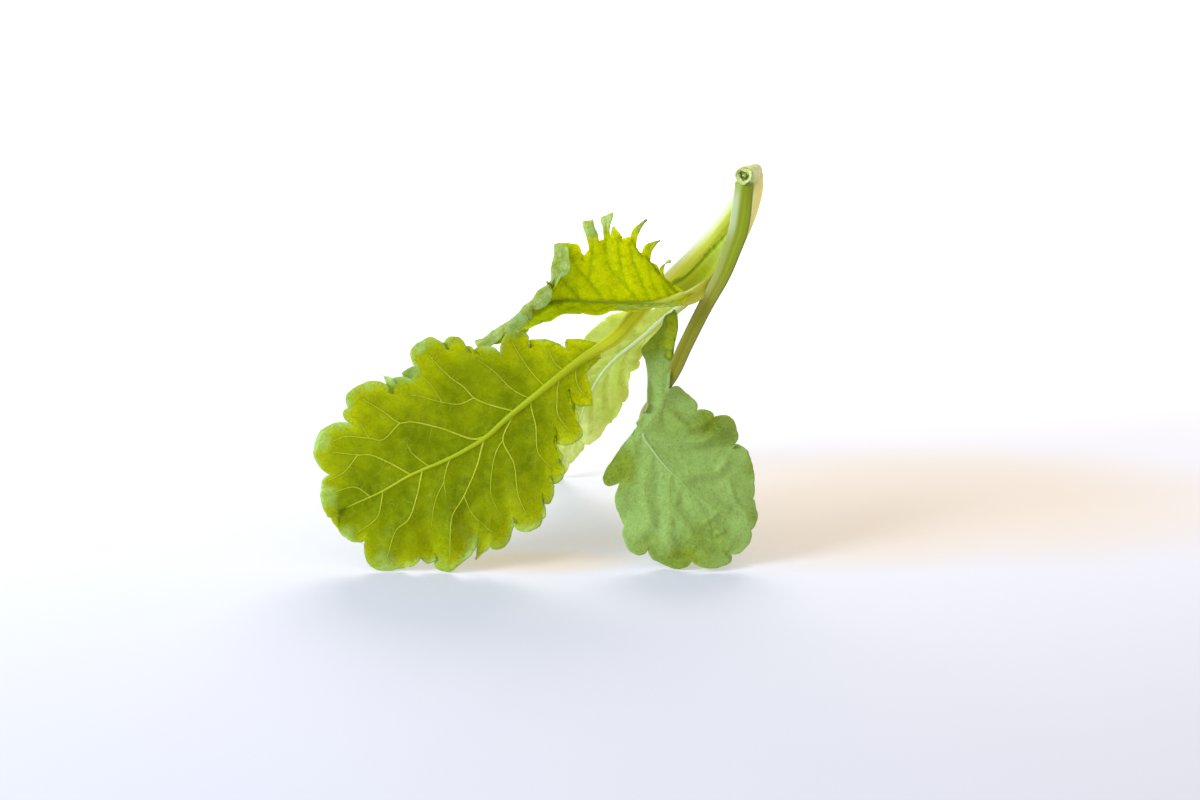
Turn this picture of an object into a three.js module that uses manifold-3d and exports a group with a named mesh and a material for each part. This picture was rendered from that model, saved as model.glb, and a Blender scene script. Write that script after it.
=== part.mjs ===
// A sprig of wasabi mustard greens: a short cut stem and four young leaves with lobed, toothed edges.
// It rests as it fell, propped on three low places: two lobes of the big left leaf, two of the right
// leaf and the drooping tip of the middle leaf at the back.
//
// Millimetres, +Z up, +X to the right and +Y away from the side that shows the leaves' faces.
// The origin is the middle of the box's underside, on the surface that the sprig lies on.

import * as THREE from 'three';
import { mergeVertices } from 'three/addons/utils/BufferGeometryUtils.js';
import Module from 'manifold-3d';

// Driving sizes

const BLADE_THICKNESS = 0.64;
const BASE_MIDDLE = [-12.89, 29.63]; // middle of the sprig's box before it is moved over the origin
const JOIN_GAP = 0.34; // room between the stem and the leaf stalks that grow from it
const LEAF_ROUGHNESS = 0.55;
const RIB_DEPTH_SHARE = 0.85; // half thickness of a midrib for each millimetre of its half width
const POINT_MERGE = 1e-5; // points of one mesh closer than this are the same point
const CORNER_MERGE = 0.004; // corners that a join or cut leaves closer than this become one
const FOOT_BLOCK = { side: 400, depth: 20 }; // the block that trims the feet flat

// How finely the leaves are divided
const LOBE_COLUMNS = 5;
const PLAIN_ROWS = { inner: 2, outer: 2 };
const ROLLED_ROWS = { inner: 3, outer: 5 };
const RIB_STEPS = 18;
const TONGUE_ROWS = 4;
const STALK_SIDES = 8;
const STALK_STEPS = 24;
const ROLL_SEARCH_STEPS = 50;

// A lobe's own part of the blade starts this far along the way from the rib to its notches.
const INNER_REACH = 0.88;
// Share of a lobe's curl that is there already where the lobe's own part starts.
const RING_LIFT = 0.15;
// How far towards the tip a side vein runs for each millimetre that it runs out.
const VEIN_SLANT = 0.58;

// Leaves
//
// Each leaf has a face frame: an origin at the base of its blade, a direction along its midrib and
// the direction that its face looks in. Places on the face are [s, v], s along and v across.
// A margin row is a notch s, v, the tip of the lobe after it s, v, how far that tip curls out of
// the face, minus being away from the side that the face looks to, and the fullness of the lobe's
// outline: 2 is an ellipse, more is squarer, less is pointed.
// The midrib stands out of the blade's underside: ribStandsOut is minus where that is the far side.
// A dish lifts the face by curl times the square of the way from its middle across, and by an arch
// along its length.
// A stalk row is a place [x, y, z] of the leaf stalk, its half width and its half thickness.

const LEAF_LEFT = {
  name: 'leaf_left',
  colour: 0x7f9a1a,
  origin: [0, 14, 45.3],
  along: [-0.863, -0.145, -0.484],
  face: [0.019, -0.966, 0.256],
  rib: [
    [-1, -1.2], [4.6, -0.7], [10, 0], [15.5, 0.8], [23.7, 2],
    [31.1, 3.4], [39.5, 3.3], [48.8, 2.2], [56.4, 2.1], [65.7, 1],
  ],
  ribHalfWidth: [1.25, 0.5],
  ribStandsOut: 0.3,
  dish: { curl: 0.0028, middle: 0, arch: 1.2, length: 68 },
  margin: [
    [-1.5, -1.9, 4.6, -5.8, 0.5, 1.8],
    [6.9, -4.4, 9.3, -8.5, -0.4, 1.9],
    [12.1, -8.9, 13.9, -12.5, 0.8, 1.8],
    [19.2, -10.4, 21.6, -14.0, -0.8, 2.2],
    [23.6, -14.2, 25.4, -18.3, 1.0, 2.3],
    [28.6, -18.1, 32.0, -21.0, -0.6, 2.8],
    [35.8, -18.1, 38.6, -18.6, 1.4, 2.2],
    [41.2, -17.5, 42.8, -19.0, -0.9, 1.3],
    [43.7, -16.2, 50.2, -19.4, -1.2, 2.7],
    [53.9, -13.4, 61.6, -14.6, -1.4, 2.7],
    [63.7, -6.3, 68.6, -1.6, -1.6, 2.6],
    [68.2, 3.9, 66.9, 8.0, -0.6, 2.0],
    [64.0, 10.1, 62.9, 18.1, 0.9, 2.8],
    [55.8, 18.8, 55.4, 20.6, -0.8, 1.4],
    [54.3, 20.4, 51.0, 25.3, 0.6, 2.5],
    [43.5, 22.9, 45.8, 25.0, -2.0, 1.3],
    [41.9, 24.1, 38.9, 25.7, -0.7, 2.4],
    [34.9, 21.9, 31.4, 25.1, 0.9, 2.5],
    [26.6, 21.8, 24.9, 22.0, -0.5, 2.0],
    [23.7, 19.0, 21.4, 19.0, 0.6, 2.6],
    [19.5, 16.5, 18.4, 16.2, -0.4, 1.6],
    [18.1, 12.1, 13.4, 13.8, 0.9, 2.4],
    [11.3, 6.5, 7.2, 8.8, -0.9, 2.6],
    [5.0, 2.5, 1.6, 1.9, 0, 2],
  ],
  marginEnd: [-1.5, 1.5],
  stalk: [
    [32.8, 30.0, 79.6, 1.55, 1.5],
    [30.6, 30.2, 75.4, 1.65, 1.5],
    [25.6, 29.6, 68.2, 1.75, 1.5],
    [21.2, 28.3, 63.5, 1.8, 1.4],
    [16.2, 26.2, 59.0, 1.8, 1.3],
    [11.3, 24.0, 54.8, 1.75, 1.2],
    [7.0, 20.6, 50.9, 1.65, 1.1],
    [3.4, 16.8, 47.9, 1.5, 1.0],
  ],
};

const LEAF_UPPER = {
  name: 'leaf_upper',
  colour: 0xa9b31c,
  origin: [19.5, 19, 56.3],
  along: [-0.983, 0.012, -0.181],
  face: [-0.02, -0.999, 0.042],
  rib: [[-1, 0.6], [2, 1.2], [6.7, 1.3], [11, 0.6], [19.5, -1.2], [28.9, -2.9], [35, -2.1], [43, 0.8]],
  ribHalfWidth: [1.0, 0.5],
  ribStandsOut: -0.3,
  margin: [
    [-1.5, -1.0, 1.0, -2.2, 0, 2],
    [5.0, -4.4, 2.4, -8.8, 1.2, 1.0],
    [6.3, -7.6, 4.4, -12.7, -1.0, 1.1],
    [8.6, -11.4, 6.3, -18.1, 1.6, 0.9],
    [12.4, -14.9, 13.7, -17.2, -0.8, 2.2],
    [14.9, -15.3, 14.6, -19.9, -2.4, 2.2],
    [16.9, -16.3, 19.1, -19.3, -2.2, 1.6],
    [20.0, -13.6, 21.0, -12.4, 0.3, 1.6],
    [22.5, -12.0, 24.0, -15.9, 0.6, 3.0],
    [27.2, -15.9, 31.4, -17.2, 0, 2.3],
    [32.3, -12.8, 35.6, -12.2, 0, 2.2],
    [36.6, -9.6, 39.6, -8.8, 0, 2.2],
    [43.0, -6.0, 46.4, -2.2, 0, 1.7],
    [44.2, 2.4, 40.8, 4.2, 0.5, 1.8],
    [38.4, 2.2, 35.0, 3.6, -0.6, 2.2],
    [31.4, 1.8, 27.4, 2.6, 0.6, 2.2],
    [23.2, 1.9, 18.8, 3.4, -0.6, 2.2],
    [14.6, 3.6, 11.0, 5.2, 0.5, 2.2],
    [7.4, 5.0, 3.6, 5.4, -0.4, 2.2],
    [1.4, 3.4, -0.2, 2.6, 0, 2],
  ],
  marginEnd: [-1.5, 1.9],
  stalk: [
    [32.0, 26.8, 79.0, 1.2, 1.25],
    [30.9, 26.9, 74.6, 1.3, 1.3],
    [28.7, 26.7, 69.4, 1.45, 1.3],
    [26.4, 26.3, 65.8, 1.6, 1.3],
    [24.0, 25.4, 62.2, 1.7, 1.25],
    [21.9, 22.8, 59.0, 1.6, 1.1],
  ],
  // The half behind the rib leans back. The half in front of it is folded forward, a right angle
  // less its droop, which grows along the rib. The fold takes creaseHalf to each side of the rib.
  fold: { lean: 0.012, droop: -0.16, droopGain: 0.006, creaseHalf: 2.2 },
  // Past this line the blade rolls forward over itself and shows its underside.
  roll: {
    line: [[26.0, -18.5], [26.4, -15.0], [28.4, -8.9], [33.1, -5.3], [38.0, -2.0], [45.2, 1.2], [52.0, 4.0]],
    radius: 0.9,
    turn: 2.9,
  },
};

const LEAF_MIDDLE = {
  name: 'leaf_middle',
  colour: 0xa8c25e,
  origin: [20.1, 40, 49.5],
  along: [-0.478, 0.336, -0.812],
  face: [-0.171, -0.942, -0.289],
  rib: [
    [-1, 0.3], [6.9, -2.3], [15, -4], [24.3, -6.2],
    [30.8, -6.6], [39.2, -5.6], [48, -3.4], [56.5, -1.4],
  ],
  ribHalfWidth: [1.1, 0.5],
  ribStandsOut: 0.3,
  dish: { curl: -0.02, middle: -5, arch: 0, length: 60 },
  margin: [
    [-1.5, 1.2, 4.6, -0.4, 0, 2],
    [10.6, -1.6, 14.2, -1.4, 0.3, 2],
    [17.9, -2.4, 20.6, -1.2, -0.4, 2.2],
    [23.9, -1.4, 28.2, 0.2, 0.6, 2.2],
    [31.4, -0.4, 36.0, 1.0, -0.7, 2.2],
    [41.0, 0.5, 44.6, 1.1, 0.6, 2.2],
    [48.3, -1.2, 52.6, 0.4, -0.5, 2],
    [56.4, -0.4, 62.0, -0.5, 0, 2.4],
    [57.4, -3.6, 53.6, -6.6, 0.7, 2.2],
    [50.2, -7.4, 46.6, -11.2, -0.7, 2.3],
    [41.6, -12.0, 37.0, -15.2, 0.8, 2.3],
    [32.2, -14.4, 28.2, -16.0, -0.8, 2.3],
    [25.2, -13.8, 20.8, -14.4, 0.6, 2.3],
    [16.9, -12.6, 13.4, -11.6, -0.5, 2.2],
    [9.4, -7.6, 5.0, -4.6, 0.2, 2.2],
  ],
  marginEnd: [-1.5, -1.0],
  stalk: [
    [34.0, 33.6, 80.6, 1.5, 1.45],
    [34.2, 34.2, 76.6, 1.5, 1.45],
    [33.1, 35.4, 71.6, 1.5, 1.4],
    [30.7, 36.8, 65.0, 1.5, 1.35],
    [27.1, 38.2, 58.3, 1.5, 1.2],
    [23.6, 39.4, 53.3, 1.4, 1.05],
  ],
};

const LEAF_RIGHT = {
  name: 'leaf_right',
  colour: 0x6f9a58,
  origin: [8, 12, 28.9],
  along: [0.49, -0.327, -0.808],
  face: [0.001, -0.927, 0.375],
  rib: [[-0.6, 0.2], [2.8, 0.2], [5.8, 0.5], [8.7, 0.9], [11.8, 1.6], [14.6, 2.5], [19.5, 3.2], [27, 3.1]],
  ribHalfWidth: [0.9, 0.5],
  ribStandsOut: -0.3,
  dish: { curl: -0.006, middle: -2, arch: 0, length: 35 },
  margin: [
    [-1.0, 0.5, -1.9, 2.2, 0, 2],
    [-2.5, 4.2, -3.2, 7.3, 0, 2],
    [-3.9, 10.5, -1.2, 13.3, -0.7, 2.6],
    [3.2, 12.2, 4.4, 14.9, 0.5, 2.2],
    [6.4, 15.7, 10.2, 18.8, -1.2, 2.6],
    [13.6, 16.4, 19.8, 17.6, 0.6, 2.4],
    [26.1, 14.3, 29.4, 13.0, -0.6, 2.2],
    [32.2, 10.0, 34.2, 7.2, 0.4, 2.3],
    [34.3, 4.1, 35.4, -0.6, 0.5, 2.4],
    [31.2, -4.1, 30.7, -8.6, -0.5, 2.6],
    [24.1, -10.6, 21.6, -14.1, 0.7, 2.5],
    [16.3, -12.9, 12.4, -12.1, -0.5, 2.2],
    [8.4, -8.9, 5.0, -10.6, -1.3, 2.0],
  ],
  marginEnd: [0.2, -1.0],
  // The long lobe at the base of the blade, which stands up in front of the leaf stalk.
  tongue: {
    lobe: 1,
    left: [[-2.5, 4.2], [-7.7, 7.4], [-10.8, 8.9], [-13.4, 9.8], [-14.9, 13.0], [-18.1, 17.8]],
    right: [[-3.9, 10.5], [-7.7, 13.7], [-10.2, 15.5], [-12.4, 17.1], [-15.2, 18.9], [-18.0, 19.7]],
  },
  stalk: [
    [31.2, 23.2, 81.2, 1.75, 1.7],
    [30.8, 23.3, 78.0, 1.75, 1.7],
    [30.4, 23.1, 74.2, 1.75, 1.7],
    [29.8, 22.7, 69.8, 1.75, 1.7],
    [28.4, 22.4, 65.4, 1.7, 1.65],
    [26.5, 22.0, 60.4, 1.65, 1.6],
    [22.8, 21.2, 53.4, 1.6, 1.55],
    [18.7, 19.8, 45.2, 1.55, 1.5],
    [15.7, 18.2, 39.0, 1.5, 1.4],
    [12.0, 15.6, 33.9, 1.35, 1.25],
    [9.3, 13.1, 30.4, 1.1, 1.0],
  ],
};

// The short stem: its cut face looks to the front and left, and it is rounded off behind.
const CUT_STEM = {
  name: 'cut_stem',
  colour: 0x9db06a,
  radius: 1.95,
  backTaper: 0.6,
  path: [[30.7, 20.6, 82.3], [31.9, 25.0, 81.7], [33.1, 30.0, 81.0], [34.0, 34.8, 80.6]],
};

const wasm = await Module();
wasm.setup();

const mix = (a, b, t) => a.map((value, axis) => value + (b[axis] - value) * t);

// A closed three.js mesh, without its normals and uv, as a solid that can be joined and cut.
function toSolid(geometry) {
  const bare = geometry.clone();
  bare.deleteAttribute('normal');
  bare.deleteAttribute('uv');
  const merged = mergeVertices(bare, POINT_MERGE);
  return new wasm.Manifold(
    new wasm.Mesh({
      numProp: 3,
      vertProperties: new Float32Array(merged.attributes.position.array),
      triVerts: new Uint32Array(merged.index.array),
    }),
  );
}

// The solid as a geometry. Corners that a join or cut left almost on each other become one corner,
// and the slivers between them go.
function toGeometry(solid) {
  const mesh = solid.getMesh();
  const geometry = new THREE.BufferGeometry();
  geometry.setAttribute('position', new THREE.BufferAttribute(new Float32Array(mesh.vertProperties), 3));
  geometry.setIndex(new THREE.BufferAttribute(new Uint32Array(mesh.triVerts), 1));
  const merged = mergeVertices(geometry, CORNER_MERGE);
  const kept = [];
  const index = merged.index.array;
  for (let k = 0; k < index.length; k += 3) {
    const [a, b, c] = [index[k], index[k + 1], index[k + 2]];
    if (a !== b && b !== c && c !== a) kept.push(a, b, c);
  }
  merged.setIndex(kept);
  return merged;
}

function curveThrough(points) {
  const places = points.map((p) => new THREE.Vector3(p[0], p[1], p[2] ?? 0));
  return new THREE.CatmullRomCurve3(places, false, 'centripetal');
}

// The arc of a lobe from one notch over its tip to the next: two quarters of a full, rounded end.
function lobeArc(notch, tip, next, fullness, t) {
  const middle = mix(notch, next, 0.5);
  const from = t < 0.5 ? notch : next;
  const angle = Math.PI * Math.min(t, 1 - t);
  const power = 2 / fullness;
  const along = Math.cos(angle) ** power;
  const out = Math.sin(angle) ** power;
  return middle.map((m, axis) => m + (from[axis] - m) * along + (tip[axis] - m) * out);
}

// Where on the rib, from 0 to 1, the line to each notch starts. It never turns back before the tip.
function rootPlaces(leaf, notches, ribCurve) {
  const [start] = leaf.rib;
  const end = leaf.rib.at(-1);
  const places = notches.map(([s, v]) => {
    const along = THREE.MathUtils.clamp((s - start[0]) / (end[0] - start[0]), 0, 1);
    const out = Math.abs(v - ribCurve.getPointAt(along).y);
    return THREE.MathUtils.clamp((s - VEIN_SLANT * out - start[0]) / (end[0] - start[0]), 0, 1);
  });
  const tip = places.indexOf(Math.max(...places));
  for (let k = 1; k < tip; k += 1) places[k] = Math.max(places[k], places[k - 1]);
  for (let k = places.length - 2; k > tip; k -= 1) places[k] = Math.max(places[k], places[k + 1]);
  return { places, tip };
}

// The blade laid out flat: points [s, v, lift] and the triangles between them.
function flatBlade(leaf) {
  const ribCurve = curveThrough(leaf.rib);
  const notches = [...leaf.margin.map(([s, v]) => [s, v]), leaf.marginEnd];
  const { places, tip } = rootPlaces(leaf, notches, ribCurve);
  const points = [];
  const triangles = [];
  for (let k = 0; k <= RIB_STEPS; k += 1) {
    const p = ribCurve.getPointAt(k / RIB_STEPS);
    points.push([p.x, p.y, 0]);
  }

  const ribAt = (u) => {
    const p = ribCurve.getPointAt(u);
    return [p.x, p.y];
  };
  const rows = leaf.roll ? ROLLED_ROWS : PLAIN_ROWS;
  const reach = notches.map((notch, k) =>
    leaf.roll ? reachToRoll(leaf.roll, ribAt(places[k]), notch) : INNER_REACH,
  );
  const columns = [];
  leaf.margin.forEach(([, , tipS, tipV, curl, fullness], k) => {
    const ends = [notches[k], notches[k + 1]];
    const inner = [0, 1].map((side) => mix(ribAt(places[k + side]), ends[side], reach[k + side]));
    const last = k === leaf.margin.length - 1 ? LOBE_COLUMNS : LOBE_COLUMNS - 1;
    for (let i = 0; i <= last; i += 1) {
      const t = i / LOBE_COLUMNS;
      const u = THREE.MathUtils.lerp(places[k], places[k + 1], t);
      const root = ribAt(u);
      const ring = mix(inner[0], inner[1], t);
      const edge = lobeArc(ends[0], [tipS, tipV], ends[1], fullness, t);
      const swing = curl * Math.sin(Math.PI * t);
      const column = { path: k + t < tip ? u : 2 - u, ids: [] };
      for (let j = 1; j <= rows.inner; j += 1) {
        const t1 = j / rows.inner;
        column.ids.push(points.push([...mix(root, ring, t1), RING_LIFT * swing * t1 ** 3]) - 1);
      }
      for (let j = 1; j <= rows.outer; j += 1) {
        const t2 = j / rows.outer;
        const lift = swing * (RING_LIFT + (1 - RING_LIFT) * t2 ** 2);
        column.ids.push(points.push([...mix(ring, edge, t2), lift]) - 1);
      }
      columns.push(column);
    }
  });

  for (let c = 0; c + 1 < columns.length; c += 1) {
    const [a, b] = [columns[c].ids, columns[c + 1].ids];
    for (let j = 0; j + 1 < a.length; j += 1) {
      triangles.push([a[j], a[j + 1], b[j + 1]], [a[j], b[j + 1], b[j]]);
    }
  }
  stitchToRib(columns, triangles);
  if (leaf.tongue) addTongue(leaf.tongue, columns, points, triangles);
  return { points, triangles };
}

// Joins the first row of the columns to the rib, out along one side of it and back along the other.
function stitchToRib(columns, triangles) {
  const chain = [];
  for (let k = 0; k <= RIB_STEPS; k += 1) chain.push([k, k / RIB_STEPS]);
  for (let k = RIB_STEPS - 1; k >= 0; k -= 1) chain.push([k, 2 - k / RIB_STEPS]);
  let r = 0;
  let c = 0;
  while (r + 1 < chain.length || c + 1 < columns.length) {
    const ribNext = r + 1 < chain.length ? chain[r + 1][1] : Infinity;
    const columnNext = c + 1 < columns.length ? columns[c + 1].path : Infinity;
    if (ribNext <= columnNext) {
      triangles.push([chain[r][0], columns[c].ids[0], chain[r + 1][0]]);
      r += 1;
    } else {
      triangles.push([chain[r][0], columns[c].ids[0], columns[c + 1].ids[0]]);
      c += 1;
    }
  }
}

// Adds a long lobe as a ladder between its two edges, on the straight margin of one lobe.
function addTongue(tongue, columns, points, triangles) {
  const left = curveThrough(tongue.left);
  const right = curveThrough(tongue.right);
  const first = tongue.lobe * LOBE_COLUMNS;
  let below = [];
  for (let i = 0; i <= LOBE_COLUMNS; i += 1) below.push(columns[first + i].ids.at(-1));
  for (let j = 1; j <= TONGUE_ROWS; j += 1) {
    const [a, b] = [left.getPointAt(j / TONGUE_ROWS), right.getPointAt(j / TONGUE_ROWS)];
    const row = [];
    for (let i = 0; i <= LOBE_COLUMNS; i += 1) {
      const t = i / LOBE_COLUMNS;
      row.push(points.push([...mix([a.x, a.y], [b.x, b.y], t), 0]) - 1);
    }
    for (let i = 0; i < LOBE_COLUMNS; i += 1) {
      triangles.push([below[i], row[i], row[i + 1]], [below[i], row[i + 1], below[i + 1]]);
    }
    below = row;
  }
}

function ribHeight(leaf, s) {
  const at = leaf.rib.findIndex(([ribS]) => ribS > s);
  if (at < 0) return leaf.rib.at(-1)[1];
  if (at === 0) return leaf.rib[0][1];
  const [a, b] = [leaf.rib[at - 1], leaf.rib[at]];
  return THREE.MathUtils.lerp(a[1], b[1], (s - a[0]) / (b[0] - a[0]));
}

// The nearest place on the roll's line, how far away it is, and whether the point lies past it.
function nearestOnRoll(roll, s, v) {
  let best = null;
  for (let k = 0; k + 1 < roll.line.length; k += 1) {
    const [a, b] = [roll.line[k], roll.line[k + 1]];
    const [ds, dv] = [b[0] - a[0], b[1] - a[1]];
    const t = THREE.MathUtils.clamp(((s - a[0]) * ds + (v - a[1]) * dv) / (ds * ds + dv * dv), 0, 1);
    const foot = mix(a, b, t);
    const away = [s - foot[0], v - foot[1]];
    const far = Math.hypot(...away);
    if (!best || far < best.far) best = { far, foot, away, past: ds * away[1] - dv * away[0] < 0 };
  }
  return best;
}

// How far along the way from the rib to a notch the line of the roll is met.
function reachToRoll(roll, root, notch) {
  for (let k = 1; k < ROLL_SEARCH_STEPS; k += 1) {
    const [s, v] = mix(root, notch, k / ROLL_SEARCH_STEPS);
    if (nearestOnRoll(roll, s, v).past) return Math.min((k - 1) / ROLL_SEARCH_STEPS, INNER_REACH);
  }
  return INNER_REACH;
}

// Rolls what lies past a line on the face forward, over a small radius: where it goes on the face
// and how far out of it.
function rollOver(roll, s, v) {
  const best = nearestOnRoll(roll, s, v);
  if (!best.past || best.far < POINT_MERGE) return [s, v, 0];
  const angle = Math.min(best.far / roll.radius, roll.turn);
  const rest = Math.max(best.far - roll.radius * roll.turn, 0);
  const reach = roll.radius * Math.sin(angle) + rest * Math.cos(roll.turn);
  const rise = roll.radius * (1 - Math.cos(angle)) + rest * Math.sin(roll.turn);
  const unit = best.away.map((value) => value / best.far);
  return [best.foot[0] + unit[0] * reach, best.foot[1] + unit[1] * reach, rise];
}

// Folds the face forward along its rib. Returns how far across and how far out a place comes to lie.
function foldAlongRib(leaf, s, v, lift) {
  const { lean, droop, droopGain, creaseHalf } = leaf.fold;
  const rib = ribHeight(leaf, s);
  const out = v - rib;
  if (out < -creaseHalf) return [v, lift - lean * (out + creaseHalf) ** 2];
  const fullTurn = Math.PI / 2 - (droop + droopGain * s);
  const radius = (2 * creaseHalf) / fullTurn;
  const turn = Math.min((out + creaseHalf) / radius, fullTurn);
  const past = Math.max(out - creaseHalf, 0);
  const across = rib - creaseHalf + radius * Math.sin(turn) + past * Math.cos(turn) - lift * Math.sin(turn);
  const forward = radius * (1 - Math.cos(turn)) + past * Math.sin(turn) + lift * Math.cos(turn);
  return [across, forward];
}

// How far the dish of a leaf without a fold lifts a place out of its flat face.
function dishLift({ curl, middle, arch, length }, s, v) {
  const along = THREE.MathUtils.clamp(s / length, 0, 1);
  return curl * (v - middle) ** 2 + arch * Math.sin(Math.PI * along);
}

// A place on the leaf's face, lifted out of it, in the sprig's own frame.
function placeOn(leaf) {
  const origin = new THREE.Vector3(...leaf.origin);
  const along = new THREE.Vector3(...leaf.along).normalize();
  const face = new THREE.Vector3(...leaf.face);
  face.addScaledVector(along, -face.dot(along)).normalize();
  const across = new THREE.Vector3().crossVectors(face, along);
  return (s0, v0, lift) => {
    const [s, v1, rise] = leaf.roll ? rollOver(leaf.roll, s0, v0) : [s0, v0, 0];
    const [v, h] = leaf.fold
      ? foldAlongRib(leaf, s, v1, lift + rise)
      : [v1, lift + dishLift(leaf.dish, s, v1)];
    return origin.clone().addScaledVector(along, s).addScaledVector(across, v).addScaledVector(face, h);
  };
}

// Gives a sheet of triangles its thickness, half to each side, with the same triangles on both faces.
function thicken(middle, triangles, thickness) {
  const normals = middle.map(() => new THREE.Vector3());
  const [ab, ac] = [new THREE.Vector3(), new THREE.Vector3()];
  for (const [a, b, c] of triangles) {
    ab.subVectors(middle[b], middle[a]);
    ac.subVectors(middle[c], middle[a]);
    ab.cross(ac);
    for (const id of [a, b, c]) normals[id].add(ab);
  }
  const count = middle.length;
  const positions = [];
  for (const side of [0.5, -0.5]) {
    middle.forEach((p, id) => {
      const q = p.clone().addScaledVector(normals[id].clone().normalize(), side * thickness);
      positions.push(q.x, q.y, q.z);
    });
  }
  const index = [];
  const edges = new Set(triangles.flatMap(([a, b, c]) => [`${a},${b}`, `${b},${c}`, `${c},${a}`]));
  for (const [a, b, c] of triangles) {
    index.push(a, b, c, a + count, c + count, b + count);
    for (const [from, to] of [[a, b], [b, c], [c, a]]) {
      if (!edges.has(`${to},${from}`)) index.push(from, from + count, to, to, from + count, to + count);
    }
  }
  const geometry = new THREE.BufferGeometry();
  geometry.setAttribute('position', new THREE.Float32BufferAttribute(positions, 3));
  geometry.setIndex(index);
  return geometry;
}

// A closed tube with an oval section through rows of [x, y, z, half width, half thickness].
function stalkGeometry(rows, face) {
  const path = curveThrough(rows);
  const sizes = curveThrough(rows.map((row) => [row[3], row[4]]));
  const positions = [];
  const index = [];
  const across = new THREE.Vector3();
  const up = new THREE.Vector3();
  for (let k = 0; k <= STALK_STEPS; k += 1) {
    const t = path.getUtoTmapping(k / STALK_STEPS);
    const centre = path.getPoint(t);
    const size = sizes.getPoint(t);
    const tangent = path.getTangent(t);
    across.crossVectors(face, tangent).normalize();
    up.crossVectors(tangent, across);
    for (let i = 0; i < STALK_SIDES; i += 1) {
      const angle = (2 * Math.PI * i) / STALK_SIDES;
      const p = centre.clone();
      p.addScaledVector(across, size.x * Math.cos(angle));
      p.addScaledVector(up, size.y * Math.sin(angle));
      positions.push(p.x, p.y, p.z);
    }
  }
  const ring = (k, i) => k * STALK_SIDES + (i % STALK_SIDES);
  for (let k = 0; k < STALK_STEPS; k += 1) {
    for (let i = 0; i < STALK_SIDES; i += 1) {
      index.push(ring(k, i), ring(k, i + 1), ring(k + 1, i + 1));
      index.push(ring(k, i), ring(k + 1, i + 1), ring(k + 1, i));
    }
  }
  for (let i = 1; i + 1 < STALK_SIDES; i += 1) {
    index.push(ring(0, 0), ring(0, i + 1), ring(0, i));
    index.push(ring(STALK_STEPS, 0), ring(STALK_STEPS, i), ring(STALK_STEPS, i + 1));
  }
  const geometry = new THREE.BufferGeometry();
  geometry.setAttribute('position', new THREE.Float32BufferAttribute(positions, 3));
  geometry.setIndex(index);
  return geometry;
}

// The leaf stalk, which runs on into the blade as its midrib and thins out towards the tip.
function stalkWithRib(leaf, place) {
  const face = new THREE.Vector3(...leaf.face);
  const rows = leaf.stalk.map((row) => [...row]);
  const [wide, thin] = leaf.ribHalfWidth;
  const inside = leaf.rib.slice(1);
  inside.forEach(([s, v], k) => {
    const share = (k + 1) / inside.length;
    const width = THREE.MathUtils.lerp(wide, thin, share);
    const p = place(s, v, leaf.ribStandsOut);
    rows.push([p.x, p.y, p.z, width, RIB_DEPTH_SHARE * width]);
  });
  return stalkGeometry(rows, face);
}

function leafSolid(leaf) {
  const place = placeOn(leaf);
  const { points, triangles } = flatBlade(leaf);
  const middle = points.map(([s, v, lift]) => place(s, v, lift));
  const blade = toSolid(thicken(middle, triangles, BLADE_THICKNESS));
  const stalk = toSolid(stalkWithRib(leaf, place));
  return blade.add(stalk);
}

// The stem, or with some clearance the room that it takes up among the leaf stalks.
function stemSolid(stem, clearance) {
  const places = stem.path.map((p) => new THREE.Vector3(...p));
  const [front, back] = [places[0], places.at(-1)];
  front.add(front.clone().sub(places[1]).setLength(clearance));
  back.add(back.clone().sub(places.at(-2)).setLength(clearance));
  const rows = places.map((p, k) => {
    const radius = (k === places.length - 1 ? stem.backTaper : 1) * stem.radius + clearance;
    return [p.x, p.y, p.z, radius, radius];
  });
  return toSolid(stalkGeometry(rows, new THREE.Vector3(0, 0, 1)));
}

// Cuts the stem's room out of a leaf. A scrap of stalk that the cut leaves loose is dropped.
function cutOutStem(leafBody, room) {
  const bodies = leafBody.subtract(room).decompose();
  return bodies.reduce((largest, body) => (body.volume() > largest.volume() ? body : largest));
}

// Trims what would reach below the surface, so each foot has a small flat place to rest on.
function trimFeet(solid) {
  const block = new THREE.BoxGeometry(FOOT_BLOCK.side, FOOT_BLOCK.side, FOOT_BLOCK.depth);
  block.translate(0, 0, -FOOT_BLOCK.depth / 2);
  return solid.subtract(toSolid(block));
}

function pieceMesh(name, solid, colour, roughness) {
  const material = new THREE.MeshStandardMaterial({ color: colour, roughness, metalness: 0 });
  const mesh = new THREE.Mesh(toGeometry(solid), material);
  mesh.name = name;
  return mesh;
}

const sprig = new THREE.Group();
const stemRoom = stemSolid(CUT_STEM, JOIN_GAP);
for (const leaf of [LEAF_LEFT, LEAF_UPPER, LEAF_MIDDLE, LEAF_RIGHT]) {
  const solid = cutOutStem(trimFeet(leafSolid(leaf)), stemRoom);
  sprig.add(pieceMesh(leaf.name, solid, leaf.colour, LEAF_ROUGHNESS));
}
sprig.add(pieceMesh(CUT_STEM.name, stemSolid(CUT_STEM, 0), CUT_STEM.colour, LEAF_ROUGHNESS));
sprig.position.set(-BASE_MIDDLE[0], -BASE_MIDDLE[1], 0);

export default sprig;
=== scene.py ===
import math

import bpy
import numpy as np
from bpy.props import FloatProperty, FloatVectorProperty, IntProperty, PointerProperty
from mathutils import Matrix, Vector
from mathutils.bvhtree import BVHTree
from mathutils.interpolate import poly_3d_calc
from mathutils.kdtree import KDTree


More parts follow.
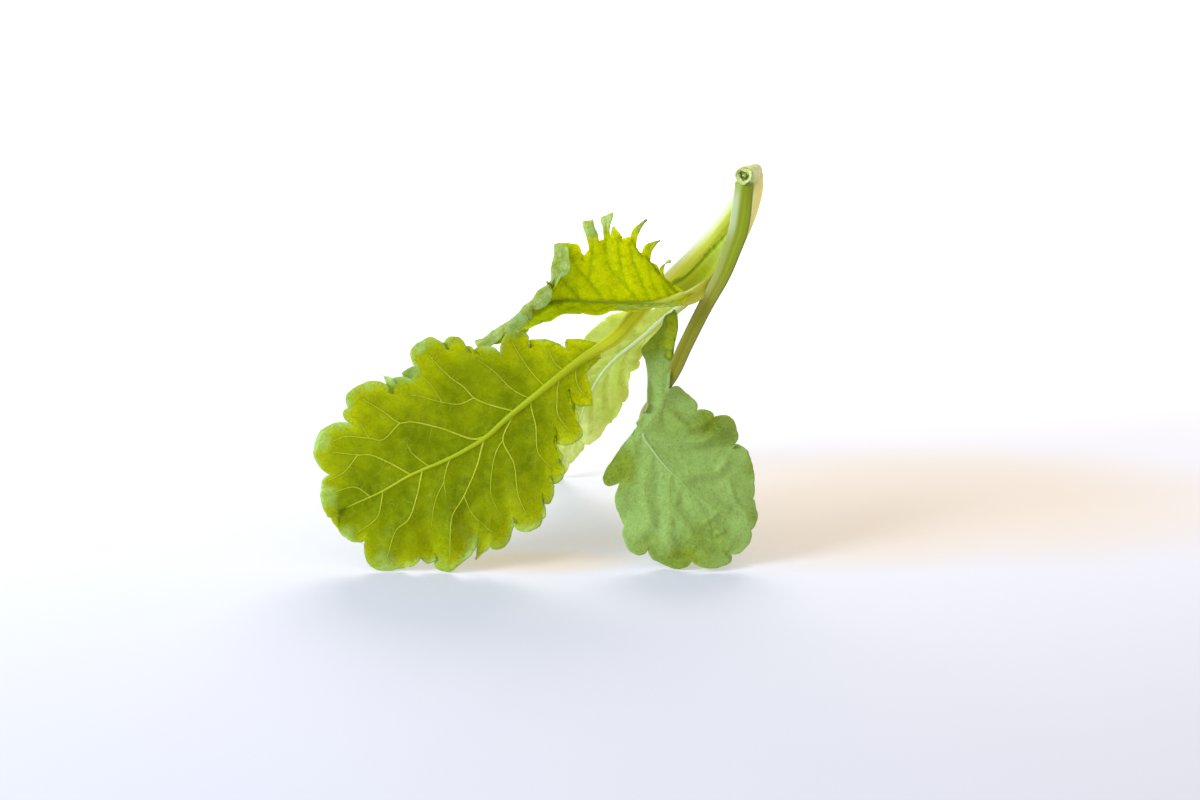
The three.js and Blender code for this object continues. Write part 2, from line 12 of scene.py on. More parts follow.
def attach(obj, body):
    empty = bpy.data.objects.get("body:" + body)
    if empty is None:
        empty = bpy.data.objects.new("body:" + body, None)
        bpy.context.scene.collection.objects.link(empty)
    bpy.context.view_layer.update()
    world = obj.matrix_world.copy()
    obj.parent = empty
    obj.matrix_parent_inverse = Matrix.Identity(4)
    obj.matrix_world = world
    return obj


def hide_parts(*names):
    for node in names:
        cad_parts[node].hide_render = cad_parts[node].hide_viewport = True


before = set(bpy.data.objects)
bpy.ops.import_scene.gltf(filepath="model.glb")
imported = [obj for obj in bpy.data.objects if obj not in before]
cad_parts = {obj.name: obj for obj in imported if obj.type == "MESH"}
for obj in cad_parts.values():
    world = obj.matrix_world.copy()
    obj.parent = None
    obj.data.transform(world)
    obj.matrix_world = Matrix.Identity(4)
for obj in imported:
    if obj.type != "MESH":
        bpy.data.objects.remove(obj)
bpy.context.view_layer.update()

bl_info = {
    "name": "Mustard greens sprig",
    "version": (1, 0, 0),
    "blender": (4, 5, 0),
    "location": "View3D > Sidebar > Sprig",
    "description": "Dresses a sprig of wasabi mustard greens: blades, veins, stalks and cut stem",
    "category": "Add Mesh",
}

MM = 0.001
BODY = "root"
BASE_MIDDLE = (-12.89, 29.63)  # middle of the sprig's box in the frame that the tables are in, in mm

# How a blade's surface is laid out, as in the part: shares of the way, and the slant of side veins
INNER_REACH = 0.88
RING_LIFT = 0.15
VEIN_SLANT = 0.58
ROLL_SEARCH_STEPS = 50
TINY = 1e-6
RIB_ROWS = 4  # rows of a midrib to each stretch of its table

# A blade's lowest part, under foot height, is lifted until it stands this far clear of the floor, in mm
FOOT_HEIGHT = 4.0
FLOOR_GAP = 0.3
MOST_GROWTH_STEPS = 90

# How deep the drawn and the grown veins lie in a blade's underside, in shares of their half width
UNDERSIDE_SUNK = (0.1, 0.3)

# Leaves
#
# All tables are in millimetres. A leaf has a face frame: an origin at the base of its blade, a
# direction along its midrib and the direction that its face looks in. Places on the face are s
# along and v across. A margin row is a notch s, v, the tip of the lobe after it s, v, that tip's
# curl out of the face and the fullness of the lobe's outline. A stalk row is a place x, y, z, its
# half width and its half thickness. A vein is its half width at each end and its places s, v.
# A patch of wax and painted light is a place s, v, its reach and how much it adds: bluish wax bloom,
# and painted sheen where it stands for lobes that catch the light; where less than -1 is added,
# painted light is added to the tissue as well. A crease is how far it rises out of the face, its reach
# to each side and its places s, v. A rib flare is how much wider a midrib starts and the share of its
# length over which that goes. A strip is a finger or a long lobe that stands on one straight lobe
# of the margin, between an edge from each end of that lobe.

LEAF_LEFT = {
    "node": "leaf_left",
    "origin": (0, 14, 45.3),
    "along": (-0.863, -0.145, -0.484),
    "face": (0.019, -0.966, 0.256),
    "rib": [
        (-1, -1.2), (4.6, -0.7), (10, 0), (15.5, 0.8), (23.7, 2),
        (31.1, 3.4), (39.5, 3.3), (48.8, 2.2), (56.4, 2.1), (65.7, 1),
    ],
    "rib_half_width": (0.95, 0.1),
    "rib_stands_out": 0.3,
    "dish": {"curl": 0.0028, "middle": 0, "arch": 1.2, "length": 68},
    "margin": [
        (-0.4, -2.0, 4.7, -6.1, 0.5, 1.3),
        (5.8, -3.8, 9.2, -8.6, -0.4, 2.3),
        (12.2, -9.1, 13.9, -13.4, 0.8, 2.3),
        (18.8, -10.6, 20.5, -13.6, -0.8, 2.0),
        (23.3, -13.9, 23.7, -15.3, 0.3, 2.0),
        (24.7, -15.4, 25.4, -18.8, 1.0, 2.2),
        (28.7, -17.9, 32.2, -21.7, -0.6, 2.8),
        (36.1, -17.6, 38.7, -17.7, 1.4, 2.0),
        (38.8, -16.1, 40.1, -17.6, -0.7, 1.8),
        (41.9, -17.6, 43.0, -19.3, -0.9, 1.0),
        (43.6, -16.1, 47.9, -20.2, -1.2, 2.5),
        (53.0, -17.1, 54.6, -16.4, 0.6, 1.6),
        (54.4, -13.8, 62.7, -14.7, -1.4, 2.1),
        (63.6, -6.4, 67.9, -3.3, -1.6, 1.9),
        (68.4, 4.6, 67.4, 8.3, -0.6, 1.8),
        (64.3, 9.2, 66.4, 15.2, 0.9, 1.4),
        (61.6, 18.7, 60.4, 19.3, -0.4, 1.6),
        (59.3, 19.1, 57.9, 19.8, 0.3, 2.0),
        (56.0, 18.7, 55.7, 21.1, -0.8, 1.2),
        (54.0, 20.7, 51.9, 24.6, 0.8, 1.6),
        (43.6, 22.3, 46.1, 25.4, -2.0, 1.0),
        (41.7, 24.2, 38.1, 25.6, -0.7, 1.9),
        (35.0, 21.7, 32.7, 25.5, 0.9, 2.0),
        (29.1, 24.5, 28.0, 24.5, 0.3, 1.4),
        (26.9, 21.8, 24.4, 21.9, -0.5, 2.5),
        (23.6, 18.7, 20.7, 19.0, 0.6, 2.5),
        (19.2, 16.0, 17.9, 15.4, -0.4, 1.3),
        (18.3, 11.8, 13.6, 14.2, 0.7, 1.9),
        (12.0, 10.5, 11.5, 10.3, 0.2, 1.6),
        (11.1, 6.2, 7.1, 9.1, -0.9, 1.4),
        (5.0, 2.5, 2.8, 0.9, 0, 2),
    ],
    "margin_end": (0.6, 1.3),
    "stalk": [
        (32.8, 30.0, 80.1, 1.55, 1.5),
        (30.6, 30.2, 75.4, 1.65, 1.5),
        (25.6, 29.6, 68.2, 1.75, 1.5),
        (21.2, 28.3, 63.5, 1.8, 1.4),
        (16.2, 26.2, 59.0, 1.8, 1.3),
        (11.3, 23.1, 55.0, 1.75, 1.2),
        (7.0, 19.1, 51.3, 1.65, 1.1),
        (3.4, 15.2, 48.3, 1.5, 1.0),
    ],
    "veins": [
        (0.24, 0.10, [(5.5, -0.8), (7.1, 1.8), (7.8, 3.9), (7.4, 6.6)]),
        (0.26, 0.10, [(9.2, -0.2), (11.4, 1.5), (13.2, 4.2), (14.6, 6.9), (14.3, 11.5)]),
        (0.24, 0.09, [(8.6, -0.3), (9.6, -3.2), (9.2, -6.6)]),
        (0.24, 0.09, [(14.0, 0.5), (15.0, -4.4), (15.3, -10.1), (15.2, -11.6)]),
        (0.30, 0.10, [(17.2, 1.1), (18.5, 2.1), (20.0, 6.7), (22.4, 11.8), (21.7, 16.1)]),
        (0.22, 0.09, [(17.9, 1.3), (20.4, -2.8), (21.7, -7.8), (23.6, -12.2)]),
        (0.34, 0.10, [(22.2, 1.8), (26.5, -2.6), (28.4, -5.3), (29.1, -8.4), (30.6, -11.8), (32.3, -19.0)]),
        (0.20, 0.08, [(28.4, -5.3), (31.7, -5.7), (34.8, -8.0), (38.6, -11.8), (40.2, -12.9)]),
        (0.14, 0.08, [(34.8, -8.0), (34.9, -12.1), (35.5, -14.6)]),
        (0.34, 0.10, [(21.9, 1.6), (24.4, 3.1), (27.6, 5.7), (28.2, 11.4), (30.7, 17.4), (31.4, 22.4)]),
        (0.18, 0.08, [(27.6, 5.7), (29.8, 6.9), (32.1, 9.1), (35.7, 14.4), (36.4, 19.5)]),
        (0.38, 0.11, [
            (30.3, 3.2), (32.9, 2.4), (38.0, -3.4), (42.9, -7.8), (44.9, -8.7), (46.9, -12.9), (49.2, -17.2),
        ]),
        (0.22, 0.09, [(44.9, -8.7), (50.1, -7.5), (52.3, -9.3), (57.0, -12.2), (59.5, -12.6)]),
        (0.13, 0.07, [(52.3, -9.3), (52.2, -13.4)]),
        (0.36, 0.11, [(29.6, 3.1), (31.2, 3.8), (35.3, 7.7), (41.0, 11.9), (45.2, 14.4), (50.4, 22.6)]),
        (0.18, 0.08, [(41.0, 11.9), (41.4, 16.0), (39.6, 22.0)]),
        (0.26, 0.09, [(39.0, 3.3), (40.0, 3.8), (43.2, 7.1), (44.1, 9.4)]),
        (0.15, 0.08, [(43.2, 7.1), (46.8, 9.6), (50.6, 14.2)]),
        (0.22, 0.09, [(44.2, 2.8), (46.0, -1.8), (46.0, -3.6)]),
        (0.32, 0.10, [(46.0, 2.6), (50.4, 7.4), (54.1, 10.3), (57.3, 10.9), (62.3, 15.2)]),
        (0.32, 0.10, [(48.6, 2.2), (51.2, -2.3), (54.0, -6.0), (56.3, -7.3), (61.0, -10.8)]),
        (0.18, 0.08, [(56.3, -7.3), (60.8, -5.6), (64.8, -5.8)]),
        (0.22, 0.09, [(55.6, 2.1), (57.4, 4.4), (59.7, 6.5), (65.4, 7.2)]),
        (0.20, 0.08, [(58.6, 1.8), (60.4, -1.6), (66.4, -3.2)]),
    ],
    # Painted sheen: pale bluish patches on the lobes that face the light at the left, and on the right facet
    # of the fold lobe.
    "bloom": [
        (44.8, 17.0, 1.9, 0.2), (44.4, 21.0, 2.3, 0.35), (46.6, 24.0, 1.7, 0.5), (52.4, 21.4, 1.8, 0.35),
        (62.8, 15.6, 2.8, 0.55), (67.2, 6.4, 2.2, 0.6), (41.6, -17.4, 1.8, 0.7),
        (66.8, -3.0, 2.6, 0.65), (61.6, -14.0, 2.4, 0.55), (56.0, -14.6, 2.0, 0.3), (37.6, -17.0, 2.2, 1.0),
        (32.6, -20.4, 1.6, 0.45), (52.8, -18.2, 1.6, 0.35), (14.4, -12.4, 1.4, 0.3), (20.4, -12.8, 1.3, 0.35),
    ],
    "waves": [(0.5, 15.0, 0.4), (0.3, 8.5, 2.2)],
    "creases": [
        (1.7, 1.9, [(44.6, 13.0), (47.2, 16.8), (48.9, 20.3), (50.9, 24.0)]),
        (-1.0, 1.7, [(51.0, 12.5), (52.7, 17.3), (53.6, 21.2)]),
        (-0.6, 1.4, [(41.4, 14.0), (42.8, 18.0), (43.4, 21.6)]),
        (0.5, 1.8, [(56.4, 10.3), (60.6, 12.8), (63.8, 15.2)]),
        (0.5, 2.0, [(63.0, -3.0), (65.4, 0.4), (67.2, 4.4)]),
        (0.5, 1.6, [(29.4, -14.6), (31.4, -17.4), (32.6, -20.6)]),
        (-0.5, 1.3, [(35.4, -14.6), (37.0, -15.6), (38.6, -16.8)]),
    ],
}

LEAF_UPPER = {
    "node": "leaf_upper",
    "origin": (19.5, 19, 56.3),
    "along": (-0.983, 0.012, -0.181),
    "face": (-0.02, -0.999, 0.042),
    "rib": [(-1, -0.6), (2, 0), (6.7, 0.1), (11, -0.6), (19.5, -2.4), (28.9, -4.0), (35, -2.8), (43, 0.6)],
    "rib_half_width": (0.9, 0.16),
    "rib_flare": (0.9, 0.12),
    "rib_stands_out": -0.3,
    "margin": [
        (0.8, -0.9, 1.8, -2.4, 0, 2),
        (3.4, -3.3, 4.5, -3.8, 0.3, 1.6),
        (4.8, -5.4, 5.2, -5.8, 0, 2),
        (5.6, -6.2, 5.7, -7.8, -0.4, 1.4),
        (7.2, -9.0, 7.8, -10.2, 0, 2),
        (8.5, -11.3, 9.2, -11.6, 0, 1.8),
        (9.7, -12.2, 10.0, -13.6, 0, 2),
        (10.3, -15.0, 11.5, -15.2, 0.6, 1.8),
        (12.7, -15.3, 13.6, -17.8, 0.2, 1.5),
        (14.7, -15.7, 15.4, -15.6, 0, 2),
        (16.1, -15.5, 16.7, -15.4, -0.3, 1.8),
        (17.3, -15.3, 18.5, -14.8, 0, 2),
        (19.6, -14.2, 20.5, -13.4, 0.4, 1.6),
        (21.7, -12.4, 21.9, -15.7, 0.5, 1.3),
        (27.2, -16.4, 32.6, -15.4, 0, 2.3),
        (31.0, -10.8, 35.2, -10.4, 0, 1.7),
        (35.6, -6.8, 40.6, -7.6, 0, 1.8),
        (42.4, -3.8, 47.6, -1.4, 0, 1.7),
        (45.8, 3.2, 43.0, 4.6, 0, 1.8),
        (40.6, 3.2, 38.4, 4.0, 0, 1.8),
        (36.2, 2.6, 34.0, 3.9, -0.2, 2.0),
        (31.8, 2.6, 27.4, 3.9, 0.3, 2.2),
        (23.2, 2.8, 18.8, 4.3, -0.3, 2.2),
        (14.6, 3.6, 11.0, 4.8, 0.3, 2.2),
        (7.8, 4.2, 5.0, 4.2, -0.2, 2.2),
        (2.8, 2.8, 1.6, 2.0, 0, 2),
    ],
    "margin_end": (0.6, 0.8),
    "stalk": [
        (32.2, 26.8, 80.8, 1.2, 1.2),
        (31.2, 26.9, 74.5, 1.25, 1.2),
        (30.0, 26.8, 69.4, 1.3, 1.2),
        (28.6, 26.4, 64.8, 1.35, 1.1),
        (26.8, 25.6, 61.2, 1.4, 1.0),
        (24.9, 24.3, 58.6, 1.5, 0.95),
        (22.1, 21.4, 57.1, 1.6, 0.9),
        (19.2, 19.1, 56.1, 1.6, 0.85),
    ],
    "channel": {
        "upper_edge": [
            (29.4, 27.2, 71.4), (27.7, 27.2, 69.1), (24.9, 27.6, 66.0), (21.9, 27.6, 63.1),
            (19.5, 27.2, 60.7), (17.5, 26.0, 59.2), (15.7, 23.6, 58.6), (14.1, 20.6, 58.3),
        ],
        "lower_edge": [
            (29.8, 26.0, 69.6), (28.1, 25.6, 66.0), (26.2, 25.4, 62.6), (24.2, 24.4, 59.6),
            (22.0, 22.2, 57.6), (19.6, 20.0, 56.4), (17.0, 18.8, 55.8), (14.7, 18.2, 55.4),
        ],
        "depth": 0.8,
        "frill": 0.35,
        "along": (0.02, 0.3),
    },
    "fold": {"lean": 0.012, "droop": -0.2, "droop_gain": 0.013, "crease_half": 2.2},
    "roll": {
        "line": [
            (26.0, -18.5), (26.4, -15.0), (28.4, -8.9), (33.1, -5.3),
            (38.0, -2.0), (45.2, 1.2), (52.0, 4.0),
        ],
        "radius": 0.9,
        "turn": 2.9,
        "stand_off": 2.4,
        "stand_off_from": 32.0,
    },
    "veins": [
        (0.20, 0.09, [(3.8, 0.6), (4.6, -2.0), (5.4, -4.3), (6.3, -7.0)]),
        (0.24, 0.09, [(6.0, 0.8), (6.9, -2.4), (7.7, -6.0), (7.5, -9.9), (6.4, -13.6)]),
        (0.26, 0.09, [(8.4, 0.7), (9.7, -4.9), (10.8, -9.6), (10.9, -13.4)]),
        (0.30, 0.09, [(10.4, 0.4), (13.2, -4.8), (15.6, -8.7), (16.3, -12.1), (15.4, -17.4)]),
        (0.18, 0.08, [(13.2, -4.8), (13.6, -10.0), (13.2, -15.2)]),
        (0.28, 0.09, [(17.9, -1.2), (21.1, -7.5), (22.8, -10.4), (24.2, -14.0)]),
        (0.16, 0.08, [(21.1, -7.5), (19.8, -11.2), (18.4, -16.4)]),
        (0.24, 0.09, [(22.6, -2.2), (25.9, -7.5), (28.6, -11.6), (30.6, -15.4)]),
        (0.20, 0.08, [(27.6, -2.9), (31.4, -6.4), (35.0, -10.6)]),
        (0.20, 0.08, [(32.4, -2.7), (36.0, -5.0), (39.2, -7.8)]),
        (0.18, 0.08, [(9.0, 1.4), (12.0, 4.0)]),
        (0.18, 0.08, [(17.0, -0.2), (20.0, 2.2)]),
        (0.18, 0.08, [(25.0, -1.4), (28.4, 1.6)]),
    ],
    "bloom": [
        (5.0, -11.5, 2.0, 0.5), (6.6, -16.4, 2.6, 0.7), (14.6, -19.0, 2.4, 1.0), (18.8, -18.4, 2.6, 1.0),
        (2.8, -8.0, 1.8, 0.8), (5.2, 2.9, 2.8, 0.8), (10.0, 2.5, 2.8, 0.75), (15.0, 1.3, 2.6, 0.6),
    ],
    "waves": [(0.3, 9.0, 1.0), (0.15, 5.5, 0.3)],
    "strips": [
        {
            "lobe": 2, "curl": 0.9, "cup": 0.2,
            "start_edge": [(4.8, -5.4), (4.5, -6.8), (3.9, -7.8), (3.2, -8.3), (2.4, -8.5)],
            "end_edge": [(5.6, -6.2), (5.2, -7.4), (4.4, -8.3), (3.4, -8.8), (2.5, -8.9)],
        },
        {
            "lobe": 4, "curl": -0.6, "cup": 0.3,
            "start_edge": [(7.2, -9.0), (6.6, -11.0), (5.8, -11.9), (5.0, -12.5), (4.3, -12.9)],
            "end_edge": [(8.5, -11.3), (8.2, -12.1), (7.4, -12.8), (6.3, -12.9), (5.2, -13.1), (4.3, -13.2)],
        },
        {
            "lobe": 6, "curl": 1.0, "cup": 0.3,
            "start_edge": [(9.7, -12.2), (9.2, -13.8), (8.5, -15.3), (7.6, -16.5), (6.8, -17.4), (6.2, -17.8)],
            "end_edge": [(10.3, -15.0), (9.9, -16.0), (9.1, -16.9), (8.0, -17.5), (7.1, -18.0), (6.4, -18.3)],
        },
        {
            "lobe": 9, "curl": -1.6, "cup": 0.35,
            "start_edge": [(14.7, -15.7), (14.7, -17.1), (14.1, -18.2), (13.3, -19.3), (13.2, -20.0)],
            "end_edge": [(16.1, -15.5), (15.8, -16.8), (15.8, -18.1), (16.2, -19.2), (15.9, -19.9)],
        },
        {
            "lobe": 11, "curl": -1.3, "cup": -0.4,
            "start_edge": [(17.3, -15.3), (17.4, -17.0), (17.8, -17.9), (17.9, -18.7), (18.0, -19.5)],
            "end_edge": [(19.6, -14.2), (19.6, -15.9), (19.8, -17.6), (20.0, -18.7), (19.8, -19.3)],
        },
    ],
    "creases": [
        (-0.35, 0.9, [(27.0, -6.0), (22.0, -3.4), (14.0, -1.2), (8.0, -0.6), (4.0, -0.4)]),
        (-0.3, 0.8, [(12.1, -1.4), (14.5, -5.2), (15.9, -9.2), (16.7, -12.2), (16.4, -14.8)]),
        (-0.3, 0.8, [(9.1, -1.1), (10.9, -5.7), (11.0, -9.6), (10.6, -12.1)]),
        (-0.3, 0.8, [(18.4, -2.8), (20.6, -7.7), (21.9, -10.3)]),
    ],
}

LEAF_MIDDLE = {
    "node": "leaf_middle",
    "origin": (20.1, 40, 49.5),
    "along": (-0.478, 0.336, -0.812),
    "face": (-0.171, -0.942, -0.289),
    "rib": [
        (-1, 0.3), (6.9, -2.3), (15, -4), (24.3, -6.2),
        (30.8, -6.6), (39.2, -5.6), (48, -3.4), (56.5, -1.4),
    ],
    "rib_half_width": (0.75, 0.2),
    "rib_stands_out": 0.15,
    "dish": {"curl": -0.02, "middle": -5, "arch": 0, "length": 60},
    "margin": [
        (-1.5, 1.2, 4.6, -0.4, 0, 2),
        (10.6, -1.6, 13.4, -1.8, 0.3, 2),
        (16.1, -2.6, 18.4, -1.6, -0.4, 2.2),
        (21.2, -1.4, 22.8, -0.6, 0.4, 2),
        (24.8, -1.5, 27.6, 0.0, 0.6, 2.2),
        (29.6, 0.2, 31.8, 1.6, -0.6, 2.2),
        (33.9, 1.1, 36.6, 2.0, 0.5, 2.2),
        (39.6, 1.5, 43.0, 1.9, -0.5, 2),
        (47.4, 0.9, 48.8, 0.4, 0.3, 1.6),
        (48.6, -1.1, 52.4, 0.3, -0.5, 2),
        (56.4, -0.4, 62.0, -0.5, 0, 2.4),
        (57.4, -3.6, 53.6, -6.6, 0.7, 2.2),
        (50.2, -7.4, 46.6, -11.2, -0.7, 2.3),
        (41.6, -12.0, 37.0, -15.2, 0.8, 2.3),
        (32.2, -14.4, 28.2, -16.0, -0.8, 2.3),
        (25.2, -13.8, 20.8, -14.4, 0.6, 2.3),
        (16.9, -12.6, 13.4, -11.6, -0.5, 2.2),
        (9.4, -7.6, 5.0, -4.6, 0.2, 2.2),
    ],
    "margin_end": (-1.5, -1.0),
    "stalk": [
        (34.0, 33.6, 80.6, 1.5, 1.45),
        (34.2, 34.2, 76.6, 1.5, 1.45),
        (33.3, 35.4, 71.6, 1.5, 1.4),
        (31.1, 36.8, 65.2, 1.5, 1.35),
        (27.6, 38.2, 58.3, 1.5, 1.2),
        (23.6, 39.4, 53.3, 1.4, 1.05),
    ],
    "veins": [
        (0.26, 0.09, [(11.4, -3.2), (15.4, -2.4), (18.8, -1.9)]),
        (0.28, 0.09, [(19.2, -5.0), (23.4, -3.2), (27.6, -1.0)]),
        (0.28, 0.09, [(25.4, -6.2), (32.0, -3.2), (36.4, -0.4)]),
        (0.26, 0.09, [(33.0, -6.4), (38.6, -3.4), (44.0, -0.4)]),
        (0.22, 0.08, [(41.0, -5.2), (46.8, -2.8), (51.6, -1.0)]),
        (0.28, 0.09, [(9.0, -2.8), (13.6, -6.4), (15.2, -10.2)]),
        (0.28, 0.09, [(15.4, -4.2), (20.4, -8.4), (22.4, -13.0)]),
        (0.28, 0.09, [(22.0, -5.8), (27.4, -10.2), (29.4, -14.6)]),
        (0.26, 0.09, [(29.0, -6.6), (34.6, -10.6), (37.4, -14.0)]),
        (0.24, 0.09, [(36.4, -6.1), (41.6, -8.8), (45.8, -10.4)]),
        (0.20, 0.08, [(44.4, -4.4), (49.0, -5.6), (53.0, -6.0)]),
    ],
    "bloom": [(8.0, -1.0, 7.0, 0.1), (50.0, -2.0, 8.0, 0.8), (30.0, -13.0, 5.0, 0.4), (13.0, -9.6, 3.4, -1.0)],
    "waves": [(0.4, 11.0, 0.8), (0.2, 6.3, 2.0)],
    "creases": [(-0.4, 1.4, [(24.0, -10.0), (32.0, -11.0), (40.0, -9.0)])],
}

LEAF_RIGHT = {
    "node": "leaf_right",
    "origin": (8, 12, 28.9),
    "along": (0.49, -0.327, -0.808),
    "face": (0.001, -0.927, 0.375),
    "rib": [
        (-0.6, 0.2), (2.8, 0.2), (5.8, 0.5), (8.7, 0.9),
        (11.8, 1.6), (14.6, 2.5), (19.5, 3.2), (27, 3.1),
    ],
    "rib_half_width": (0.32, 0.08),
    "rib_stands_out": -0.14,
    "dish": {"curl": -0.006, "middle": -2, "arch": 0, "length": 35},
    "margin": [
        (-1.0, 0.5, -1.9, 2.4, 0, 2),
        (-2.5, 4.2, -4.1, 5.2, 0, 2),
        (-6.0, 5.9, -5.0, 8.1, 0, 2),
        (-3.9, 10.2, -0.6, 13.9, -0.7, 2.4),
        (3.5, 12.3, 4.0, 15.0, 0.5, 2.2),
        (6.3, 15.8, 9.8, 19.4, -1.2, 2.4),
        (13.5, 16.5, 17.9, 18.4, 0.4, 1.6),
        (26.0, 14.5, 29.1, 13.5, -0.6, 1.9),
        (31.7, 10.5, 34.2, 7.8, 0.4, 2.2),
        (34.2, 4.3, 35.9, -0.6, 0.5, 2.2),
        (31.2, -4.0, 30.8, -9.6, -0.5, 2.2),
        (23.8, -10.6, 23.3, -14.3, 0.7, 2.2),
        (17.1, -13.1, 11.9, -12.0, -0.5, 1.4),
        (8.5, -8.9, 5.5, -11.7, -1.3, 1.7),
    ],
    "margin_end": (0.6, -1.2),
    "strips": [
        {
            "lobe": 2, "curl": 0.4, "cup": 0.9,
            "start_edge": [
                (-6.0, 5.9), (-9.3, 8.1), (-12.0, 9.1), (-13.9, 9.3),
                (-14.8, 11.4), (-15.8, 14.0), (-17.3, 16.3), (-18.5, 18.3),
            ],
            "end_edge": [
                (-3.9, 10.2), (-6.9, 12.4), (-10.5, 15.0), (-13.0, 16.9), (-15.3, 18.7), (-18.2, 20.2),
            ],
        },
    ],
    "creases": [
        (-0.45, 0.8, [(4.9, 3.2), (7.7, 6.4), (9.3, 9.3), (9.8, 11.7), (9.6, 13.8), (10.4, 16.6)]),
        (0.3, 1.2, [(6.2, 3.4), (9.4, 6.0), (11.4, 9.4), (11.8, 12.0), (11.4, 14.4)]),
        (-0.3, 0.7, [(14.7, 2.7), (15.3, 5.1), (15.8, 7.6), (17.2, 10.3), (16.5, 12.2), (15.1, 14.3)]),
        (0.3, 1.1, [(16.6, 3.4), (17.4, 6.0), (18.6, 9.4), (19.6, 11.6)]),
        (-0.5, 0.7, [(0.5, 7.7), (2.3, 8.2), (5.7, 9.8), (6.4, 12.9), (6.3, 15.5)]),
        (-0.2, 0.7, [(14.3, -6.0), (16.9, -6.7), (20.0, -7.3), (21.7, -7.4)]),
        (-0.22, 0.8, [(15.1, 2.5), (17.9, -0.4), (21.5, -3.8), (25.1, -5.4), (29.1, -6.9)]),
        (-0.18, 0.6, [(18.5, -1.7), (22.0, -1.2), (25.1, -0.9), (28.1, -2.1)]),
        (-0.34, 0.5, [(25.3, 2.2), (24.7, 6.8), (25.9, 9.0)]),
        (-0.34, 0.5, [(28.7, 2.8), (28.8, 5.7)]),
        (-0.34, 0.5, [(19.8, 11.8), (24.2, 10.8), (27.6, 11.6)]),
        (0.35, 1.4, [(2.4, -3.4), (4.6, -7.4), (6.2, -10.2)]),
        (-0.2, 1.2, [(22.0, -4.2), (24.6, -6.4), (28.2, -9.0)]),
    ],
    "stalk": [
        (31.2, 23.2, 81.2, 1.9, 1.75),
        (30.9, 23.3, 78.0, 2.0, 1.8),
        (30.5, 23.1, 74.2, 2.1, 1.8),
        (29.8, 22.7, 69.8, 2.1, 1.75),
        (28.4, 22.4, 65.4, 1.95, 1.7),
        (26.5, 22.0, 60.4, 1.8, 1.6),
        (22.8, 21.2, 53.4, 1.6, 1.55),
        (18.7, 19.8, 45.2, 1.55, 1.5),
        (15.7, 18.2, 39.0, 1.5, 1.4),
        (12.2, 17.0, 34.0, 1.2, 1.1),
        (9.3, 14.3, 30.6, 0.8, 0.75),
    ],
    "veins": [
        (0.22, 0.10, [(14.2, 2.6), (15.6, 6.9), (17.1, 10.1), (15.4, 13.8)]),
        (0.20, 0.09, [(3.6, 0.4), (4.7, 2.1), (8.8, 8.3), (9.9, 11.2), (10.3, 15.0)]),
        (0.18, 0.09, [(1.6, 0.4), (-0.2, 6.9), (2.4, 7.9), (5.4, 9.2), (6.8, 11.9)]),
        (0.22, 0.09, [(12.4, 1.9), (13.9, 0.4), (19.3, -2.4), (22.8, -5.1), (28.6, -7.2)]),
        (0.16, 0.08, [(17.4, -1.3), (20.4, -2.0), (25.1, -0.9), (31.6, -1.2)]),
        (0.20, 0.09, [(6.6, 0.7), (12.8, -5.2), (19.3, -7.6), (21.6, -11.6)]),
        (0.18, 0.09, [(15.6, 2.9), (17.3, 3.4), (24.5, 6.9), (28.6, 11.2)]),
        (0.16, 0.08, [(17.1, 10.1), (21.6, 12.6), (24.4, 14.0)]),
        (0.18, 0.08, [(2.5, 0.1), (3.1, -4.7), (5.1, -9.1)]),
        (0.16, 0.08, [(20.0, 3.2), (25.6, 3.6), (31.0, 5.6)]),
        (0.14, 0.08, [(-0.2, 6.9), (-6.0, 9.8), (-11.0, 13.0), (-15.6, 16.0)]),
        (0.12, 0.07, [(8.8, 8.3), (12.0, 10.4), (13.4, 12.6)]),
        (0.12, 0.07, [(24.5, 6.9), (25.6, 3.6), (25.1, -0.9), (22.8, -5.1)]),
    ],
    # The patches of less than -1 on the long lobe, at s below -10, are painted light on its ridges.
    "bloom": [
        (5.2, -8.6, 5.4, -0.95), (8.6, 17.2, 5.0, -0.5), (31.0, -6.6, 4.6, -0.75), (24.0, -10.5, 3.4, -0.35),
        (20.0, 17.8, 2.2, -0.5), (29.0, 13.2, 2.0, -0.45), (-15.4, 12.6, 4.4, -0.95), (-16.6, 18.4, 1.7, -1.8),
        (-14.4, 16.9, 1.5, -1.7), (-12.2, 15.2, 1.3, -1.6), (-10.2, 13.9, 1.0, -1.5),
        (6.4, 13.0, 3.4, -0.5), (29.5, 0.5, 5.5, -0.5), (3.4, 7.4, 3.6, -0.3),
    ],
    "waves": [(0.5, 12.0, 0.2), (0.3, 7.0, 1.4)],
}

LEAVES = [LEAF_LEFT, LEAF_UPPER, LEAF_MIDDLE, LEAF_RIGHT]

# The taper is the share of the radius that is left at the back. The bruise is at this angle round
# the cut face, in radians.
CUT_STEM = {
    "node": "cut_stem",
    "path": [(30.8, 20.6, 82.8), (32.0, 25.0, 82.0), (33.1, 30.0, 81.1), (34.0, 34.8, 80.6)],
    "radius": 1.95,
    "back_taper": 0.8,
    "bruise": 4.1,
}

# Camera: what it aims at in mm, how far off it stands and how steeply it looks down
CAMERA_AIM = (12.89, -4.63, 30.87)
CAMERA_DISTANCE = 663
CAMERA_PITCH = 18

# Painted warm shadows on the floor, beside and under the leaves: place, reach in mm, strength
PAINTED_WARM_SHADOWS = [(92, 14, 90, 46, 0.85), (62, -14, 40, 20, 0.5), (0, -24, 24, 9, 0.85)]


def tables_frame(places):
    """Moves places of the tables, in mm, so that the sprig's box stands over the origin."""
    return np.asarray(places, float) - (*BASE_MIDDLE, 0)


# Curves


